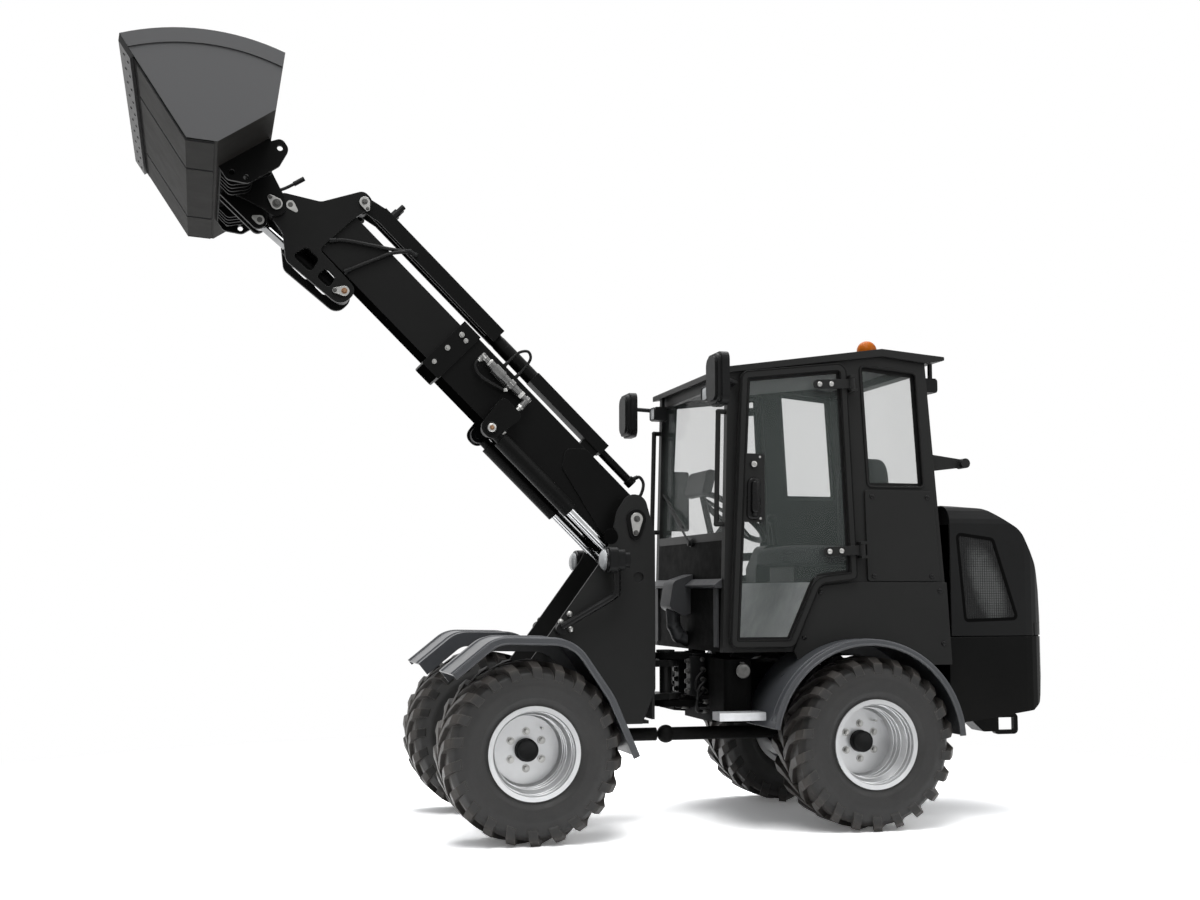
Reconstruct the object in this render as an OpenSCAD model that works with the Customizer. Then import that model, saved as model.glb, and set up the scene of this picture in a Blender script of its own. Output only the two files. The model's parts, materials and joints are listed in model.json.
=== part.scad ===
// Compact articulated wheel loader with a telescopic boom, a quick hitch and an earth bucket.
// Millimetres. X runs forward, Y to the left and Z up, and the ground is at Z = 0.
// Shapes are laid out with the rear axle at X = 0 and then moved so that the origin is under the middle.

/* [Wheels] */
// Distance between the two axles
wheelbase = 1620; // [1580:5:1680]
// Distance between the wheel centres of one axle
track = 1045; // [1030:1:1060]
// Tyre diameter over the lugs
tyre_d = 800; // [780:2:806]
// Tyre width
tyre_w = 354; // [330:2:358]
// Bead seat diameter of the rim
rim_d = 381; // [360:1:400]
// Height of the rim flange over the bead seat
flange_h = 16; // [10:1:22]
// Thickness of the rim's barrel and flanges
rim_wall = 8; // [6:1:12]
// Depth of the wheel disc behind the tyre's outer face
disc_recess = 203; // [180:1:220]
// Thickness of the wheel disc
disc_t = 12; // [8:1:16]
// Depth of the rim's well inside its bead seats
rim_well = 18; // [12:1:24]
// Height of the tyre lugs
lug_depth = 24; // [16:1:28]
// Number of lugs on each side of a tyre
lug_count = 22; // [18:1:26]
// Diameter of the hub cap
hub_cap_d = 98; // [94:1:110]
// Length of the hub cap
hub_cap_len = 42; // [30:1:60]
// Diameter of the axle spindle
spindle_d = 70; // [60:1:74]
// Diameter of the axle beam
axle_d = 150; // [120:2:156]
// Diameter of the hub drum on the axle
drum_d = 230; // [200:2:280]
// Diameter of the drive shaft
shaft_d = 64; // [50:1:74]

/* [Frames] */
// Height of the frames' underside over the axle centre
frame_rise = 78; // [78:1:90]
// Outside width of the rear chassis
chassis_w = 432; // [400:2:460]
// Chassis plate thickness
chassis_t = 16; // [12:1:20]
// Height of the rear chassis plates
chassis_h = 282; // [260:2:290]
// Rear end of the chassis, behind the rear axle
chassis_back = 480; // [470:2:490]
// Front end of the rear chassis, ahead of the rear axle
chassis_front = 640; // [620:2:660]
// Diameter of the articulation pin
joint_pin_d = 60; // [50:2:70]
// Radius of the articulation lugs
joint_lug_r = 65; // [55:1:75]
// Thickness of the articulation lugs
joint_lug_t = 30; // [24:1:34]
// Height of the lower rear lug's underside over the frames' underside
joint_low = 67; // [60:1:75]
// Height between the undersides of the two rear lugs
joint_span = 230; // [200:2:240]
// Outside width of the front tower
tower_w = 450; // [440:2:460]
// Tower plate thickness
tower_t = 15; // [12:1:18]
// Rear edge of the tower, ahead of the frame joint
tower_set = 120; // [115:1:140]
// Front end of the front frame, ahead of the front axle
tower_front = 100; // [90:2:120]

/* [Boom] */
// Boom pivot, ahead of the frame joint
boom_set = 216; // [210:1:225]
// Boom pivot height
boom_z = 1453; // [1440:1:1465]
// Boom angle above the horizontal
boom_angle = 44.5; // [40:0.5:50]
// Boom pivot pin diameter
boom_pin_d = 60; // [50:2:64]
// Outside height of the outer boom
outer_h = 262; // [250:1:270]
// Outside width of the outer boom
outer_w = 220; // [210:1:224]
// Depth of the outer boom's underside below the pivot
outer_drop = 172; // [165:1:176]
// Distance from the pivot to the outer boom's mouth
outer_len = 1250; // [1230:2:1270]
// Wall of both boom tubes
tube_wall = 10; // [8:1:12]
// Sliding gap around the inner boom
slide_gap = 5; // [5:0.5:6]
// Distance from the pivot to the inner boom's rear end
inner_back = 720; // [715:1:760]
// Distance from the pivot to the inner boom's front end
inner_front = 2080; // [2060:2:2100]
// Thickness of the boom head plates
head_t = 20; // [16:1:22]
// Distance of the bucket pivot along the boom
tilt_u = 2245; // [2235:1:2260]
// Depth of the bucket pivot below the boom pivot's line
tilt_drop = 168; // [160:1:176]
// Bucket pivot pin diameter
tilt_pin_d = 50; // [44:1:54]

/* [Cylinders] */
// Sideways distance of the lift cylinders
lift_y = 160; // [158:1:162]
// Outside diameter of the lift cylinder barrels
lift_barrel_d = 80; // [70:1:82]
// Diameter of the lift cylinder rods
lift_rod_d = 50; // [40:1:54]
// Distance of the lift cylinder's upper pin along the boom
lift_u = 800; // [790:1:810]
// Depth of the lift cylinder's upper pin below the boom pivot's line
lift_drop = 190; // [186:1:194]
// Length of the lift cylinder from pin to pin
lift_len = 1005; // [995:1:1015]
// Length of the lift cylinder barrel from its pin to its gland
lift_barrel_len = 550; // [540:2:560]
// Diameter of the lift cylinder pins
lift_pin_d = 44; // [36:1:46]
// Distance of the tilt cylinder's base pin along the boom
tilt_base_u = 1742; // [1735:1:1750]
// Depth of the tilt cylinder's base pin below the boom pivot's line
tilt_base_drop = 222; // [218:1:226]
// Outside diameter of the tilt cylinder barrel
tilt_barrel_d = 76; // [66:1:78]
// Diameter of the tilt cylinder rod
tilt_rod_d = 40; // [34:1:44]
// Length of the tilt cylinder barrel from its pin to its gland
tilt_barrel_len = 345; // [335:1:350]
// Height of the telescope cylinder over the boom pivot's line
tele_z = 172; // [170:1:174]
// Diameter of the telescope rod
tele_rod_d = 44; // [36:1:46]

/* [Bucket] */
// Bucket width
bucket_w = 1800; // [1700:10:1900]
// Length of the bucket floor
floor_len = 498; // [470:2:520]
// Bucket floor's depth below the bucket pivot
floor_drop = 301; // [290:1:310]
// Distance from the bucket pivot to the bucket's back
back_x = 200; // [195:1:210]
// Angle from the boom up to the bucket floor
floor_angle = 12; // [8:0.5:16]
// Bucket shell thickness
shell_t = 10; // [8:1:14]
// Bucket side plate thickness
cheek_t = 12; // [8:1:16]
// Height of the bucket's back over the bucket pivot
back_top = 245; // [235:1:255]
// Cutting edge thickness
edge_t = 20; // [16:1:25]
// Cutting edge depth
edge_len = 110; // [90:2:130]

/* [Cab] */
// Width over the cab's side frames
cab_w = 1090; // [1080:2:1100]
// Thickness of the cab's side frames
cab_wall = 45; // [40:1:48]
// Cab front at the floor, ahead of the rear axle
cab_front = 700; // [690:1:706]
// How far the cab front leans back at the roof
cab_lean = 34; // [26:1:42]
// Cab back at the deck, behind the rear axle
cab_back = 436; // [430:1:442]
// How far the cab back leans forward at the roof
cab_back_lean = 84; // [76:1:92]
// Underside of the cab floor
cab_floor_z = 824; // [820:1:830]
// Top of the seat deck
deck_z = 1150; // [1140:1:1156]
// Thickness of the floor and deck
floor_t = 16; // [12:1:20]
// Height under the roof's front edge
roof_front_z = 2128; // [2118:1:2136]
// Height under the roof's ridge
roof_ridge_z = 2240; // [2232:1:2250]
// Height under the roof's rear edge
roof_back_z = 2215; // [2208:1:2220]
// Roof ridge, behind the rear axle
ridge_back = 118; // [100:2:140]
// Roof thickness
roof_t = 36; // [28:1:44]
// Thickness of the outer skins
skin_t = 12; // [10:1:14]
// Door thickness
door_t = 30; // [26:1:32]
// Gap between the door and the side frame
door_gap = 6; // [5:0.5:7]
// Width of the door's frame
door_bar = 38; // [32:1:46]
// Thickness of the glass
glass_t = 6; // [5:0.5:8]
// Height of the sill under the windscreen
sill_z = 1385; // [1375:1:1395]
// Height of the rear window's lower edge
rear_sill_z = 1590; // [1575:1:1600]

/* [Rear body] */
// Width of the hood and the counterweight
hood_w = 1000; // [980:2:1020]
// Front edge of the hood, behind the rear axle
hood_front = 492; // [488:1:498]
// Rear end of the counterweight, behind the rear axle
tail_back = 1027; // [1015:1:1035]
// Top of the counterweight
weight_z = 885; // [878:1:890]
// Underside of the counterweight at its front
weight_low = 471; // [465:1:476]
// Top of the hood at its front
hood_top = 1529; // [1515:1:1535]
// Hood wall thickness
hood_t = 10; // [8:1:14]
// Gap between the hood and the counterweight
hood_gap = 6; // [5:0.5:8]
// Radius of the rear fenders
rear_fender_r = 475; // [465:1:480]
// Thickness of the fenders
fender_t = 8; // [6:1:10]
// Outer edge of the fenders from the middle
fender_y = 716; // [712:1:722]
// Depth of the lip along the fenders' outer edge
fender_lip = 28; // [18:1:32]

/* [Hidden] */
$fn = 64;

// Running clearance of a pin in its bore
run = 0.05;
// Clearance of a close seat between curved faces
seat = 0.3;
// Clearance between moving pieces
move_gap = 5;

paint = "#1c1d1e";
plastic = "#2a2b2d";
steel = "#c9cbcc";
rim_grey = "#b9bcbe";
rubber = "#252322";
pane = "#a9c2bc";

// Outlines

function unit(v) = v / norm(v);
// Arc that rounds corner b, given as [x, y, radius], between its neighbours a and c
function corner(a, b, c, steps) =
    b[2] <= 0 ? [[b.x, b.y]] :
    let (
        u = unit([a.x - b.x, a.y - b.y]),
        v = unit([c.x - b.x, c.y - b.y]),
        half = acos(max(-1, min(1, u * v))) / 2
    )
    half > 89.5 ? [[b.x, b.y]] :
    let (
        middle = [b.x, b.y] + unit(u + v) * b[2] / sin(half),
        reach = b[2] / tan(half),
        from = [b.x, b.y] + u * reach - middle,
        to = [b.x, b.y] + v * reach - middle,
        start = atan2(from.y, from.x),
        turn = atan2(from.x * to.y - from.y * to.x, from * to)
    )
    [for (i = [0 : steps]) middle + b[2] * [cos(start + turn * i / steps), sin(start + turn * i / steps)]];
// Closed outline whose corners are rounded
function outline(p, steps = 6) =
    let (n = len(p))
    [for (i = [0 : n - 1]) each corner(p[(i + n - 1) % n], p[i], p[(i + 1) % n], steps)];
// The same corners moved inward by d; the corners run anticlockwise
function inset(p, d) =
    let (n = len(p))
    [for (i = [0 : n - 1])
        let (
            a = p[(i + n - 1) % n], b = p[i], c = p[(i + 1) % n],
            e = unit([b.x - a.x, b.y - a.y]),
            f = unit([c.x - b.x, c.y - b.y]),
            n1 = [-e.y, e.x],
            n2 = [-f.y, f.x],
            shift = (n1 + n2) * d / (1 + n1 * n2)
        )
        [b.x + shift.x, b.y + shift.y, b[2] <= 0 ? 0 : max(b[2] - d, 2)]];
// Height on the straight line between two points
function along(x, p, q) = p.y + (q.y - p.y) * (x - p.x) / (q.x - p.x);

// Plate with an outline in X and Z, from y0 to y1
module side_plate(y0, y1, p) {
    translate([0, y1, 0]) rotate([90, 0, 0]) linear_extrude(y1 - y0) polygon(outline(p));
}
// Plate with an outline in X and Y, from z0 to z1
module flat_plate(z0, z1, p) {
    translate([0, 0, z0]) linear_extrude(z1 - z0) polygon(outline(p));
}
// Round bar along Y at the given X and Z
module cross_bar(x, z, r, y0, y1) {
    translate([x, y1, z]) rotate([90, 0, 0]) cylinder(r = r, h = y1 - y0);
}
// Round bar along X at the given Y and Z
module long_bar(x0, x1, y, z, r) {
    translate([x0, y, z]) rotate([0, 90, 0]) cylinder(r = r, h = x1 - x0);
}
// Round bar between two points
module bar(p, q, r) {
    d = q - p;
    translate(p) rotate([0, acos(d.z / norm(d)), atan2(d.y, d.x)]) cylinder(r = r, h = norm(d));
}
// Bent round bar through a list of points
module bent_bar(p, r) {
    for (i = [0 : len(p) - 2]) bar(p[i], p[i + 1], r);
    for (i = [1 : len(p) - 2]) translate(p[i]) sphere(r * 1.06, $fn = 32);
}
module block(low, high) {
    translate(low) cube(high - low);
}
module both_sides() {
    children();
    mirror([0, 1, 0]) children();
}

// Places

wheel_r = tyre_d / 2;
tyre_half = tyre_w / 2;
front_axle_x = wheelbase;
joint_x = wheelbase / 2;
tower_back = joint_x + tower_set;
boom_x = joint_x + boom_set;
frame_z = wheel_r + frame_rise;
inner_h = outer_h - 2 * (tube_wall + slide_gap);
inner_w = outer_w - 2 * (tube_wall + slide_gap);
outer_top = outer_h - outer_drop;
inner_low = -outer_drop + tube_wall + slide_gap;
head_y = inner_w / 2 + head_t;
cab_y = cab_w / 2;
cab_in = cab_y - cab_wall;
chassis_y = chassis_w / 2;
tower_y = tower_w / 2;
tower_in = tower_y - tower_t;
// Depth of the chamfer between the bucket's back and floor, and length of the tow ring behind the tail
chamfer_x = 77;
tow_len = 92;
// Reach of the bucket's lip ahead of the rear axle, and of the tow ring behind it
lip_angle = boom_angle + floor_angle;
lip_out = [back_x + chamfer_x + floor_len, -floor_drop];
lip_reach = boom_x + tilt_u * cos(boom_angle) + tilt_drop * sin(boom_angle)
    + lip_out.x * cos(lip_angle) - lip_out.y * sin(lip_angle);
tow_reach = tail_back + tow_len;
origin_x = (tow_reach - lip_reach) / 2;
// Moves the layout so that the origin is under the middle
module in_row() {
    translate([origin_x, 0, 0]) children();
}
// Boom frame: X along the boom from its pivot
module in_boom() {
    translate([boom_x, 0, boom_z]) rotate([0, -boom_angle, 0]) children();
}
// Bucket frame: X along the bucket's floor, from the bucket pivot
module in_bucket() {
    in_boom() translate([tilt_u, 0, -tilt_drop]) rotate([0, -floor_angle, 0]) children();
}

// Wheels

flange_r = rim_d / 2 + flange_h;
disc_out = tyre_half - disc_recess;
spindle_r = spindle_d / 2;
cap_wall = 10;

// Wheel frame: Z points outward along the axle
module at_wheel(x, side) {
    in_row() translate([x, side * track / 2, wheel_r]) mirror([0, side < 0 ? 1 : 0, 0])
        rotate([-90, 0, 0]) children();
}
// Tyre section from the rim outward: [radius, distance from the middle, corner radius]
function both_halves(half) =
    concat(half, [for (i = [len(half) - 1 : -1 : 0]) [half[i].x, -half[i].y, half[i][2]]]);
module tyre(x, side) {
    bead = tyre_half - 2 * rim_wall - 5;
    base_r = wheel_r - lug_depth;
    carcass = both_halves([
        [rim_d / 2 + seat, bead, 0], [flange_r + 6, bead, 0], [flange_r + 34, tyre_half - 4, 20],
        [wheel_r - 100, tyre_half, 60], [base_r - 26, tyre_half - 14, 20], [base_r, tyre_half - 52, 14]
    ]);
    lug_ring = both_halves([
        [wheel_r - 84, tyre_half - 14, 0], [wheel_r - 70, tyre_half - 3, 0], [wheel_r - 26, tyre_half - 3, 0],
        [wheel_r, tyre_half - 34, 0]
    ]);
    color(rubber) at_wheel(x, side) {
        rotate_extrude() polygon(outline(carcass, 4));
        intersection() {
            rotate_extrude() polygon(outline(lug_ring));
            for (i = [0 : lug_count - 1]) {
                rotate([0, 0, i * 360 / lug_count]) lug(1);
                rotate([0, 0, (i + 0.5) * 360 / lug_count]) lug(-1);
            }
        }
    }
}
// Bent lug from the tyre's middle to its shoulder, which trails the middle
module lug(hand) {
    lead = 60;
    bend = -24;
    trail = -60;
    wide = 21;
    rotate([90, 0, 90]) translate([0, 0, wheel_r - 90]) linear_extrude(100) polygon([
        [lead + wide, -5 * hand], [bend + wide, 80 * hand], [trail + wide, tyre_half * hand],
        [trail - wide, tyre_half * hand], [bend - wide, 80 * hand], [lead - wide, -5 * hand]
    ]);
}
module rim(x, side) {
    edge = tyre_half - 13;
    in_r = rim_d / 2 - rim_wall;
    well_r = in_r - rim_well;
    seat_r = rim_d / 2;
    cap_r = hub_cap_d / 2;
    cap_end = disc_out + hub_cap_len;
    color(rim_grey) at_wheel(x, side) rotate_extrude() polygon([
        [spindle_r + run, disc_out - disc_t], [well_r, disc_out - disc_t], [well_r, disc_out - disc_t - 30],
        [in_r, disc_out - disc_t - 60], [in_r, -edge], [flange_r, -edge],
        [flange_r, -edge + rim_wall], [seat_r, -edge + rim_wall], [seat_r, edge - rim_wall],
        [flange_r, edge - rim_wall], [flange_r, edge], [in_r + 3, edge], [in_r, edge - 8], [in_r, edge - 58],
        [well_r, edge - 84], [well_r, disc_out + 16], [well_r - 14, disc_out], [cap_r, disc_out],
        [cap_r, cap_end - 4], [cap_r - 4, cap_end], [0, cap_end], [0, cap_end - cap_wall],
        [spindle_r + run, cap_end - cap_wall]
    ]);
}
module tyre_front_left() { tyre(front_axle_x, 1); }
module tyre_front_right() { tyre(front_axle_x, -1); }
module tyre_rear_left() { tyre(0, 1); }
module tyre_rear_right() { tyre(0, -1); }
module rim_front_left() { rim(front_axle_x, 1); }
module rim_front_right() { rim(front_axle_x, -1); }
module rim_rear_left() { rim(0, 1); }
module rim_rear_right() { rim(0, -1); }

// Axle with drums, spindles and the pads under the frame
module axle(x, pad_y, toward) {
    drum_len = 90;
    pad_half = 95;
    pad_w = 60;
    hub_y = track / 2 + disc_out - disc_t - seat;
    tip_y = track / 2 + disc_out + hub_cap_len - cap_wall - 1;
    color(plastic) in_row() {
        cross_bar(x, wheel_r, axle_d / 2, -hub_y, hub_y);
        both_sides() cross_bar(x, wheel_r, drum_d / 2, hub_y - drum_len, hub_y);
        cross_bar(x, wheel_r, spindle_r, -tip_y, tip_y);
        both_sides() block([x - pad_half, pad_y - pad_w, wheel_r], [x + pad_half, pad_y, frame_z]);
        // Differential housing with its pinion nose towards the other axle
        intersection() {
            translate([x, 0, wheel_r]) sphere(diff_r);
            block([x - diff_r, -diff_r, wheel_r - diff_r], [x + diff_r, diff_r, frame_z - seat]);
        }
        long_bar(min(x, x + toward * nose_len), max(x, x + toward * nose_len), 0, shaft_z, nose_r);
    }
}
diff_r = 122;
nose_r = 58;
nose_len = 230;
shaft_z = wheel_r + 8;
knuckle_r = 44;
module rear_axle() {
    axle(0, chassis_y, 1);
    // Drive shaft as far as its joint under the articulation pin
    color(plastic) in_row() {
        long_bar(nose_len - 1, joint_x, 0, shaft_z, shaft_d / 2);
        translate([joint_x, 0, shaft_z]) sphere(knuckle_r);
    }
}
module front_axle() {
    axle(front_axle_x, tower_y, -1);
    color(plastic) in_row()
        long_bar(joint_x + knuckle_r + 8, front_axle_x - nose_len + 1, 0, shaft_z, shaft_d / 2);
}

// Rear frame

chassis_top = frame_z + chassis_h;
lug_low = frame_z + joint_low;
lug_high = lug_low + joint_span;
lug_gap = 5;
lug_base = 130;
mount_w = 66;
mount_len = 70;

module joint_lug(z, base_x) {
    flat_plate(z, z + joint_lug_t, [
        [base_x, -lug_base, 0], [joint_x, -joint_lug_r, 0], [joint_x, joint_lug_r, 0], [base_x, lug_base, 0]
    ]);
    translate([joint_x, 0, z]) cylinder(r = joint_lug_r, h = joint_lug_t);
}
module rear_chassis() {
    plate_in = chassis_y - chassis_t;
    color(paint) in_row() {
        both_sides() side_plate(plate_in, chassis_y, [
            [-chassis_back, frame_z, 0], [chassis_front, frame_z, 0],
            [chassis_front, chassis_top, 30], [-chassis_back, chassis_top, 0]
        ]);
        block([chassis_front - chassis_t, -chassis_y, frame_z],
            [chassis_front, chassis_y, lug_high + joint_lug_t]);
        block([-200, -plate_in - 1, chassis_top - chassis_t], [chassis_front - 1, plate_in + 1, chassis_top]);
        difference() {
            for (z = [lug_low, lug_high]) joint_lug(z, chassis_front - 1);
            translate([joint_x, 0, 0]) cylinder(d = joint_pin_d + 2 * run, h = lug_high * 2);
        }
        // Cab mounts under the floor and under the deck
        both_sides() {
            block([chassis_front - mount_len - 20, chassis_y - mount_w, chassis_top - 1],
                [chassis_front - 20, chassis_y, cab_floor_z]);
            block([-cab_back + 30, chassis_y - mount_w, chassis_top - 1],
                [-cab_back + 30 + mount_len, chassis_y, deck_z - floor_t]);
        }
    }
}
module engine_block() {
    color("#55585a") in_row() block([-870, -290, weight_z], [-520, 290, 1300]);
}

// Side outline of the counterweight, from its front underside round the tail
tail_slope = [[-528, weight_low], [-tail_back + 94, weight_low + 55]];
module tail_plan(z0, z1, front, r, d) {
    flat_plate(z0, z1, [
        [-front, -hood_w / 2 + d, 0], [-front, hood_w / 2 - d, 0],
        [-tail_back + d, hood_w / 2 - d, r - d], [-tail_back + d, -hood_w / 2 + d, r - d]
    ]);
}
module counterweight() {
    color(paint) in_row() intersection() {
        side_plate(-hood_w / 2, hood_w / 2, [
            [-chassis_back, weight_low, 0], [-chassis_back, weight_z, 0], [-tail_back + 12, weight_z, 14],
            [-tail_back, weight_z - 120, 60], [-tail_back + 46, weight_low + 90, 30],
            [tail_slope[1].x, tail_slope[1].y, 0], [tail_slope[0].x, tail_slope[0].y, 0]
        ]);
        tail_plan(weight_low - 1, weight_z + 1, chassis_back, 130, 0);
    }
}
module tow_ring() {
    ring_h = 108;
    ring_bar = 22;
    ring_t = 30;
    front = -tail_back + 46;
    top = tail_slope[1].y - 54;
    color(paint) in_row() {
        difference() {
            ring = [
                [-tow_reach, top - ring_h, 24], [front, top - ring_h, 24],
                [front, top, 24], [-tow_reach, top, 24]
            ];
            side_plate(-ring_t / 2, ring_t / 2, ring);
            side_plate(-ring_t, ring_t, inset(ring, ring_bar));
        }
        side_plate(-60, 60, [
            [front - 1, top - ring_h + 20, 0], [tail_slope[1].x + 40, top - ring_h + 20, 20],
            [-760, along(-760, tail_slope[0], tail_slope[1]), 0],
            [tail_slope[1].x, tail_slope[1].y, 0], [front - 1, top, 0]
        ]);
    }
}
tank_y = 520;
tank_back = 545;
module side_tanks() {
    color(plastic) in_row() both_sides() flat_plate(frame_z + 22, chassis_top + 30, [
        [tank_back, chassis_y, 0], [chassis_front, chassis_y, 0], [chassis_front + 40, chassis_y + 60, 10],
        [chassis_front + 40, tank_y, 30], [tank_back, tank_y, 30]
    ]);
}
module steps() {
    color(steel) in_row() both_sides() difference() {
        block([520, tank_y, 516], [745, tank_y + 100, 553]);
        block([528, tank_y + 8, 524], [737, tank_y + 92, 560]);
    }
}

// Fenders

module rear_fenders() {
    y0 = 330;
    hub_x = 40;
    flange = 70;
    wall = 8;
    low_front = 10;
    low_back = 176;
    r = rear_fender_r;
    reach = 3 * r;
    color(plastic) in_row() both_sides() {
        translate([hub_x, fender_y, wheel_r]) rotate([90, 0, 0]) difference() {
            linear_extrude(fender_y - y0) difference() {
                circle(r + fender_t, $fn = 128);
                circle(r, $fn = 128);
                fender_gap(low_front, low_back, reach);
            }
        }
        translate([hub_x, y0 + wall, wheel_r]) rotate([90, 0, 0]) linear_extrude(wall) difference() {
            circle(r + fender_t, $fn = 128);
            circle(r - flange, $fn = 128);
            fender_gap(low_front, low_back, reach);
        }
        translate([hub_x, fender_y, wheel_r]) rotate([90, 0, 0]) linear_extrude(fender_t) difference() {
            circle(r + fender_t, $fn = 128);
            circle(r - fender_lip + fender_t, $fn = 128);
            fender_gap(low_front, low_back, reach);
        }
        cross_bar(300, wheel_r + 330, 15, chassis_y, y0 + 1);
        cross_bar(-300, wheel_r + 300, 15, chassis_y, y0 + 1);
    }
}
// What a fender leaves open around the lower part of its wheel
module fender_gap(a0, a1, reach) {
    polygon([
        [0, 0], reach * [cos(a0), sin(a0)], reach * [1, -1], reach * [-1, -1], reach * [cos(a1), sin(a1)]
    ]);
}
front_fender = [[369, 349, 0], [177, 504, 150], [-173, 497, 190], [-351, 243, 300], [-467, -20, 0]];
// Points of an open line moved to its left by d, given as [x, y, corner radius]
function beside(p, d) =
    let (n = len(p))
    [for (i = [0 : n - 1])
        let (
            here = [p[i].x, p[i].y],
            a = i > 0 ? unit(here - [p[i - 1].x, p[i - 1].y]) : unit([p[1].x, p[1].y] - here),
            b = i < n - 1 ? unit([p[i + 1].x, p[i + 1].y] - here) : a,
            n1 = [-a.y, a.x],
            n2 = [-b.y, b.x],
            shift = (n1 + n2) * d / (1 + n1 * n2)
        )
        [here.x + shift.x, here.y + shift.y, max(p[i][2] - d, 0)]];
// Closed outline of a sheet of thickness d along an open line that turns left
function folded(p, d) =
    let (q = beside(p, d), n = len(p))
    concat(p, [for (i = [n - 1 : -1 : 0]) q[i]]);
module front_fenders() {
    y0 = 330;
    wall = 8;
    flange = 70;
    color(plastic) in_row() translate([front_axle_x, 0, wheel_r]) both_sides() {
        side_plate(y0, fender_y, folded(front_fender, fender_t));
        side_plate(y0, y0 + wall, folded(front_fender, flange));
        side_plate(fender_y - fender_t, fender_y, folded(front_fender, fender_lip));
        cross_bar(-150, 440, 16, tower_y, y0 + 1);
        cross_bar(-290, 250, 16, tower_y, y0 + 1);
    }
}

// Cab

function front_x(z) = cab_front - cab_lean * (z - cab_floor_z) / (roof_front_z - cab_floor_z);
function back_at(z) = -cab_back + cab_back_lean * (z - deck_z) / (roof_back_z - deck_z);
function under_roof(x) = x > -ridge_back
    ? along(x, [-ridge_back, roof_ridge_z], [cab_front, roof_front_z])
    : along(x, [-ridge_back, roof_ridge_z], [-cab_back + cab_back_lean, roof_back_z]);
header_h = 50;
post_w = 46;
riser_x = 345;
riser_top = 215;
door_outline = [
    [676, 844, 40], [610, 2138, 40], [76, 2200, 50], [32, 1163, 30], [222, 1140, 50], [357, 844, 50]
];
door_opening = inset(door_outline, 18);
quarter_opening = [[-37, 1604, 25], [-4, 2195, 25], [-118, 2190, 0], [-304, 2168, 25], [-338, 1604, 25]];
cab_side = [
    [front_x(cab_floor_z), cab_floor_z, 0], [front_x(under_roof(660)), under_roof(front_x(under_roof(660))), 0],
    [-ridge_back, roof_ridge_z, 0], [-cab_back + cab_back_lean, roof_back_z, 0],
    [back_at(deck_z - 40), deck_z - 40, 0], [riser_top - 10, deck_z - 40, 0], [riser_x - 27, cab_floor_z, 0]
];
hinge_y = cab_y + door_gap + door_t + 11;
hinge_low = [14, 1302];
hinge_high = [54, 2097];
hinge_lean = atan2(hinge_high.x - hinge_low.x, hinge_high.y - hinge_low.y);
hinge_len = norm(hinge_high - hinge_low);
hinge_r = 8;

// Door hinge frame: Z along the hinge line from the lower hinge
module at_hinge() {
    translate([hinge_low.x, hinge_y, hinge_low.y]) rotate([0, hinge_lean, 0]) children();
}
module hinge_bracket() {
    reach = hinge_y - cab_y;
    for (z = [26, -40]) translate([-20, -reach, z]) cube([32, reach + 14, 14]);
    translate([0, 0, -40]) cylinder(r = hinge_r, h = 80);
}
// Hood hinge lugs on the cab's back
hood_pin = [-470, 1512];
hood_lug_y = 240;
hood_lug_t = 20;
hood_pin_r = 10;
module cab_frame() {
    rail_y = cab_in + 20;
    color(paint) in_row() {
        both_sides() {
            translate([0, cab_y, 0]) rotate([90, 0, 0]) linear_extrude(cab_wall) difference() {
                polygon(outline(cab_side));
                polygon(outline(door_opening));
                polygon(outline(quarter_opening));
            }
            for (z = [0, hinge_len]) at_hinge() translate([0, 0, z]) hinge_bracket();
            // Grab rail in front of the post
            bent_bar([
                [front_x(1420) - 10, rail_y, 1420], [front_x(1420) + 36, rail_y, 1420],
                [front_x(1950) + 36, rail_y, 1950], [front_x(1950) - 10, rail_y, 1950]
            ], 12);
            // Door catch behind the rear post
            side_plate(cab_in, cab_in + 14, [
                [back_at(1700) + 10, 1690, 0], [back_at(1770) + 10, 1775, 0], [-560, 1752, 14], [-560, 1712, 14]
            ]);
            cross_bar(-566, 1732, 24, cab_in - 30, cab_in + 40);
            // Hood hinge lug
            side_plate(hood_lug_y, hood_lug_y + hood_lug_t, [
                [back_at(rear_sill_z - 45), rear_sill_z - 45, 0], [back_at(rear_sill_z) + 10, rear_sill_z, 0],
                [hood_pin.x - 20, hood_pin.y + 20, 20], [hood_pin.x - 20, hood_pin.y - 20, 20],
                [hood_pin.x + 22, hood_pin.y - 20, 10]
            ]);
            cross_bar(hood_pin.x, hood_pin.y, hood_pin_r, hood_lug_y, hood_lug_y + hood_lug_t + 26);
        }
        cross_rail(front_x(2090) - post_w, front_x(2090), header_h);
        cross_rail(-cab_back + cab_back_lean, -cab_back + cab_back_lean + post_w, header_h);
        side_plate(-cab_in - 1, cab_in + 1, [
            [front_x(sill_z) - post_w, sill_z - 40, 0], [front_x(sill_z), sill_z - 40, 0],
            [front_x(sill_z), sill_z, 0], [front_x(sill_z) - post_w, sill_z, 0]
        ]);
        side_plate(-cab_in - 1, cab_in + 1, [
            [back_at(rear_sill_z - 45), rear_sill_z - 45, 0], [back_at(rear_sill_z) + 40, rear_sill_z - 45, 0],
            [back_at(rear_sill_z) + 40, rear_sill_z, 0], [back_at(rear_sill_z), rear_sill_z, 0]
        ]);
    }
}
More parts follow.
